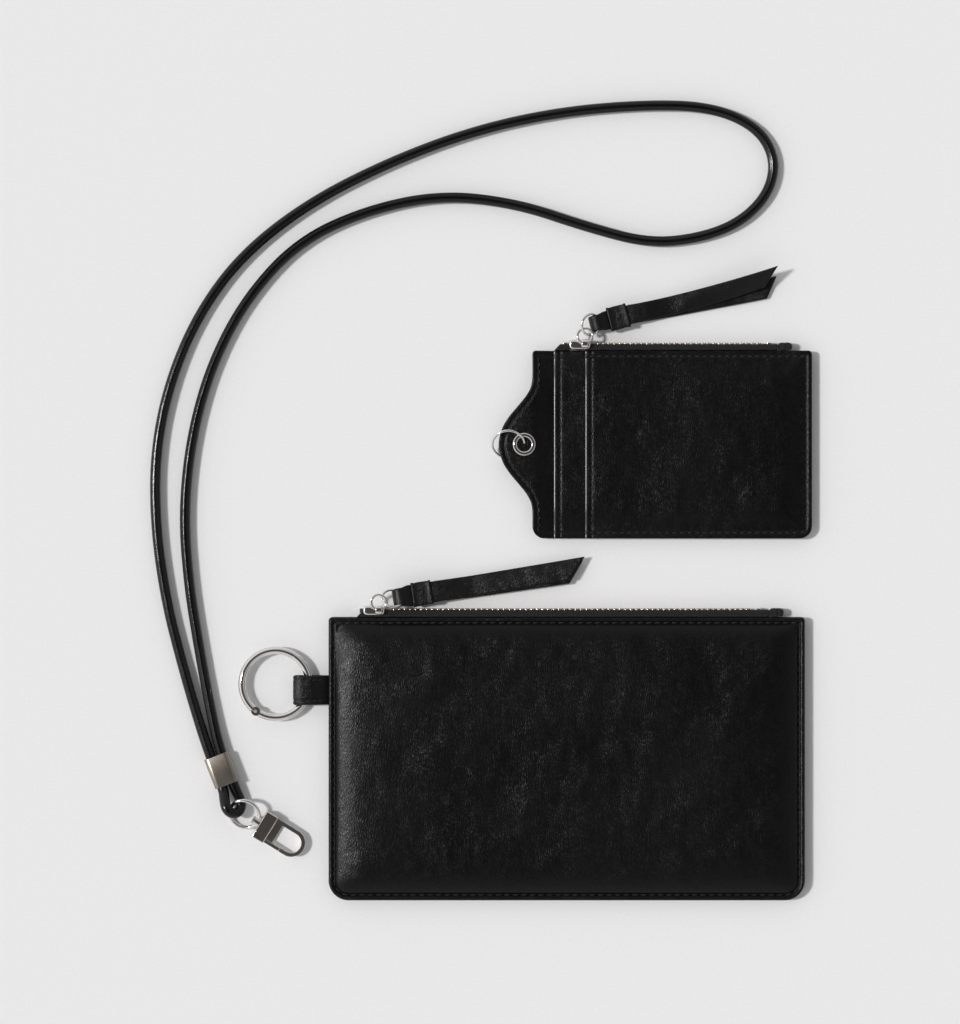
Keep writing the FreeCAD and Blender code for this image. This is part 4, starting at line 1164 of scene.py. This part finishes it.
# ---- metalwork ----
softened("lanyard_ferrule", BRUSHED, 0.16, "lanyard", "ferrule_nickel")
softened("hook_body", NICKEL, 0.34, "snap_hook", "nickel", segments=4)
softened("hook_gate", NICKEL, 0.2, "hook_gate", "nickel")
softened("key_ring_pin", NICKEL, 0.8, "key_ring", "pin_steel", segments=5, slimmer=0.8)
# These CAD nodes are shown as they are, in their own metal
for node in ("key_ring_fixed_half", "key_ring_opening_half", "pouch_pull_loop", "pouch_pull_ring",
             "case_pull_loop", "case_pull_ring", "case_jump_ring", "swivel_eye", "swivel_rivet",
             "hook_gate_pin", "hook_gate_spring"):
    materials = frame["nodes"][node].data.materials
    materials.clear()
    materials.append(STEEL if node in ("swivel_rivet", "hook_gate_spring") else NICKEL)


# ---- floor, lights, sky ----
FLOOR_HALF = 4000.0
KEY_FROM = (-0.655, 0.06, 0.76)
KEY_WIDTH = 7.5
KEY_STRENGTH = 2.25
KEY_TINT = (1.0, 0.985, 0.97)
# Fill by height in the sky, from the horizon at 0 to straight overhead at 1
SKY = ((0.25, (0.66, 0.67, 0.70)), (0.62, (0.74, 0.745, 0.76)), (0.85, (0.36, 0.35, 0.35)),
       (0.94, (0.085, 0.078, 0.072)), (1.0, (0.07, 0.062, 0.056)))
SKY_LEAN = 0.45


def make_floor():
    corners = [(x * FLOOR_HALF, y * FLOOR_HALF, 0) for x, y in ((-1, -1), (1, -1), (1, 1), (-1, 1))]
    floor = new_object("paper_floor", corners, [(0, 1, 2, 3)], floor_material(), closed=False)


def make_key_light():
    """Large distant light, so that the floor is lit evenly and shadow edges are soft."""
    data = bpy.data.lights.new("key_left", "SUN")
    data.angle = math.radians(KEY_WIDTH)
    data.energy = KEY_STRENGTH
    data.color = KEY_TINT
    light = bpy.data.objects.new("key_left", data)
    light.rotation_euler = Vector(KEY_FROM).to_track_quat("Z", "Y").to_euler()
    light.location = Vector(KEY_FROM)
    scene.collection.objects.link(light)


def make_sky():
    """Studio fill: dark overhead, bright round the sides and more so on the left, so that metal shows."""
    world = bpy.data.worlds.new("studio")
    scene.world = world
    world.use_nodes = True
    tree = world.node_tree
    background = tree.nodes["Background"].inputs
    coords = add_node(tree, "ShaderNodeTexCoord", {})
    split = add_node(tree, "ShaderNodeSeparateXYZ", {0: coords["Generated"]})
    side = add_node(tree, "ShaderNodeMath", {0: split["X"], 1: -SKY_LEAN, 2: 1.0}, operation="MULTIPLY_ADD")
    feed(background["Color"], colour_ramp(tree, split["Z"], SKY))
    feed(background["Strength"], side[0])


make_floor()
make_sky()
make_key_light()
scene.view_settings.view_transform = "Standard"
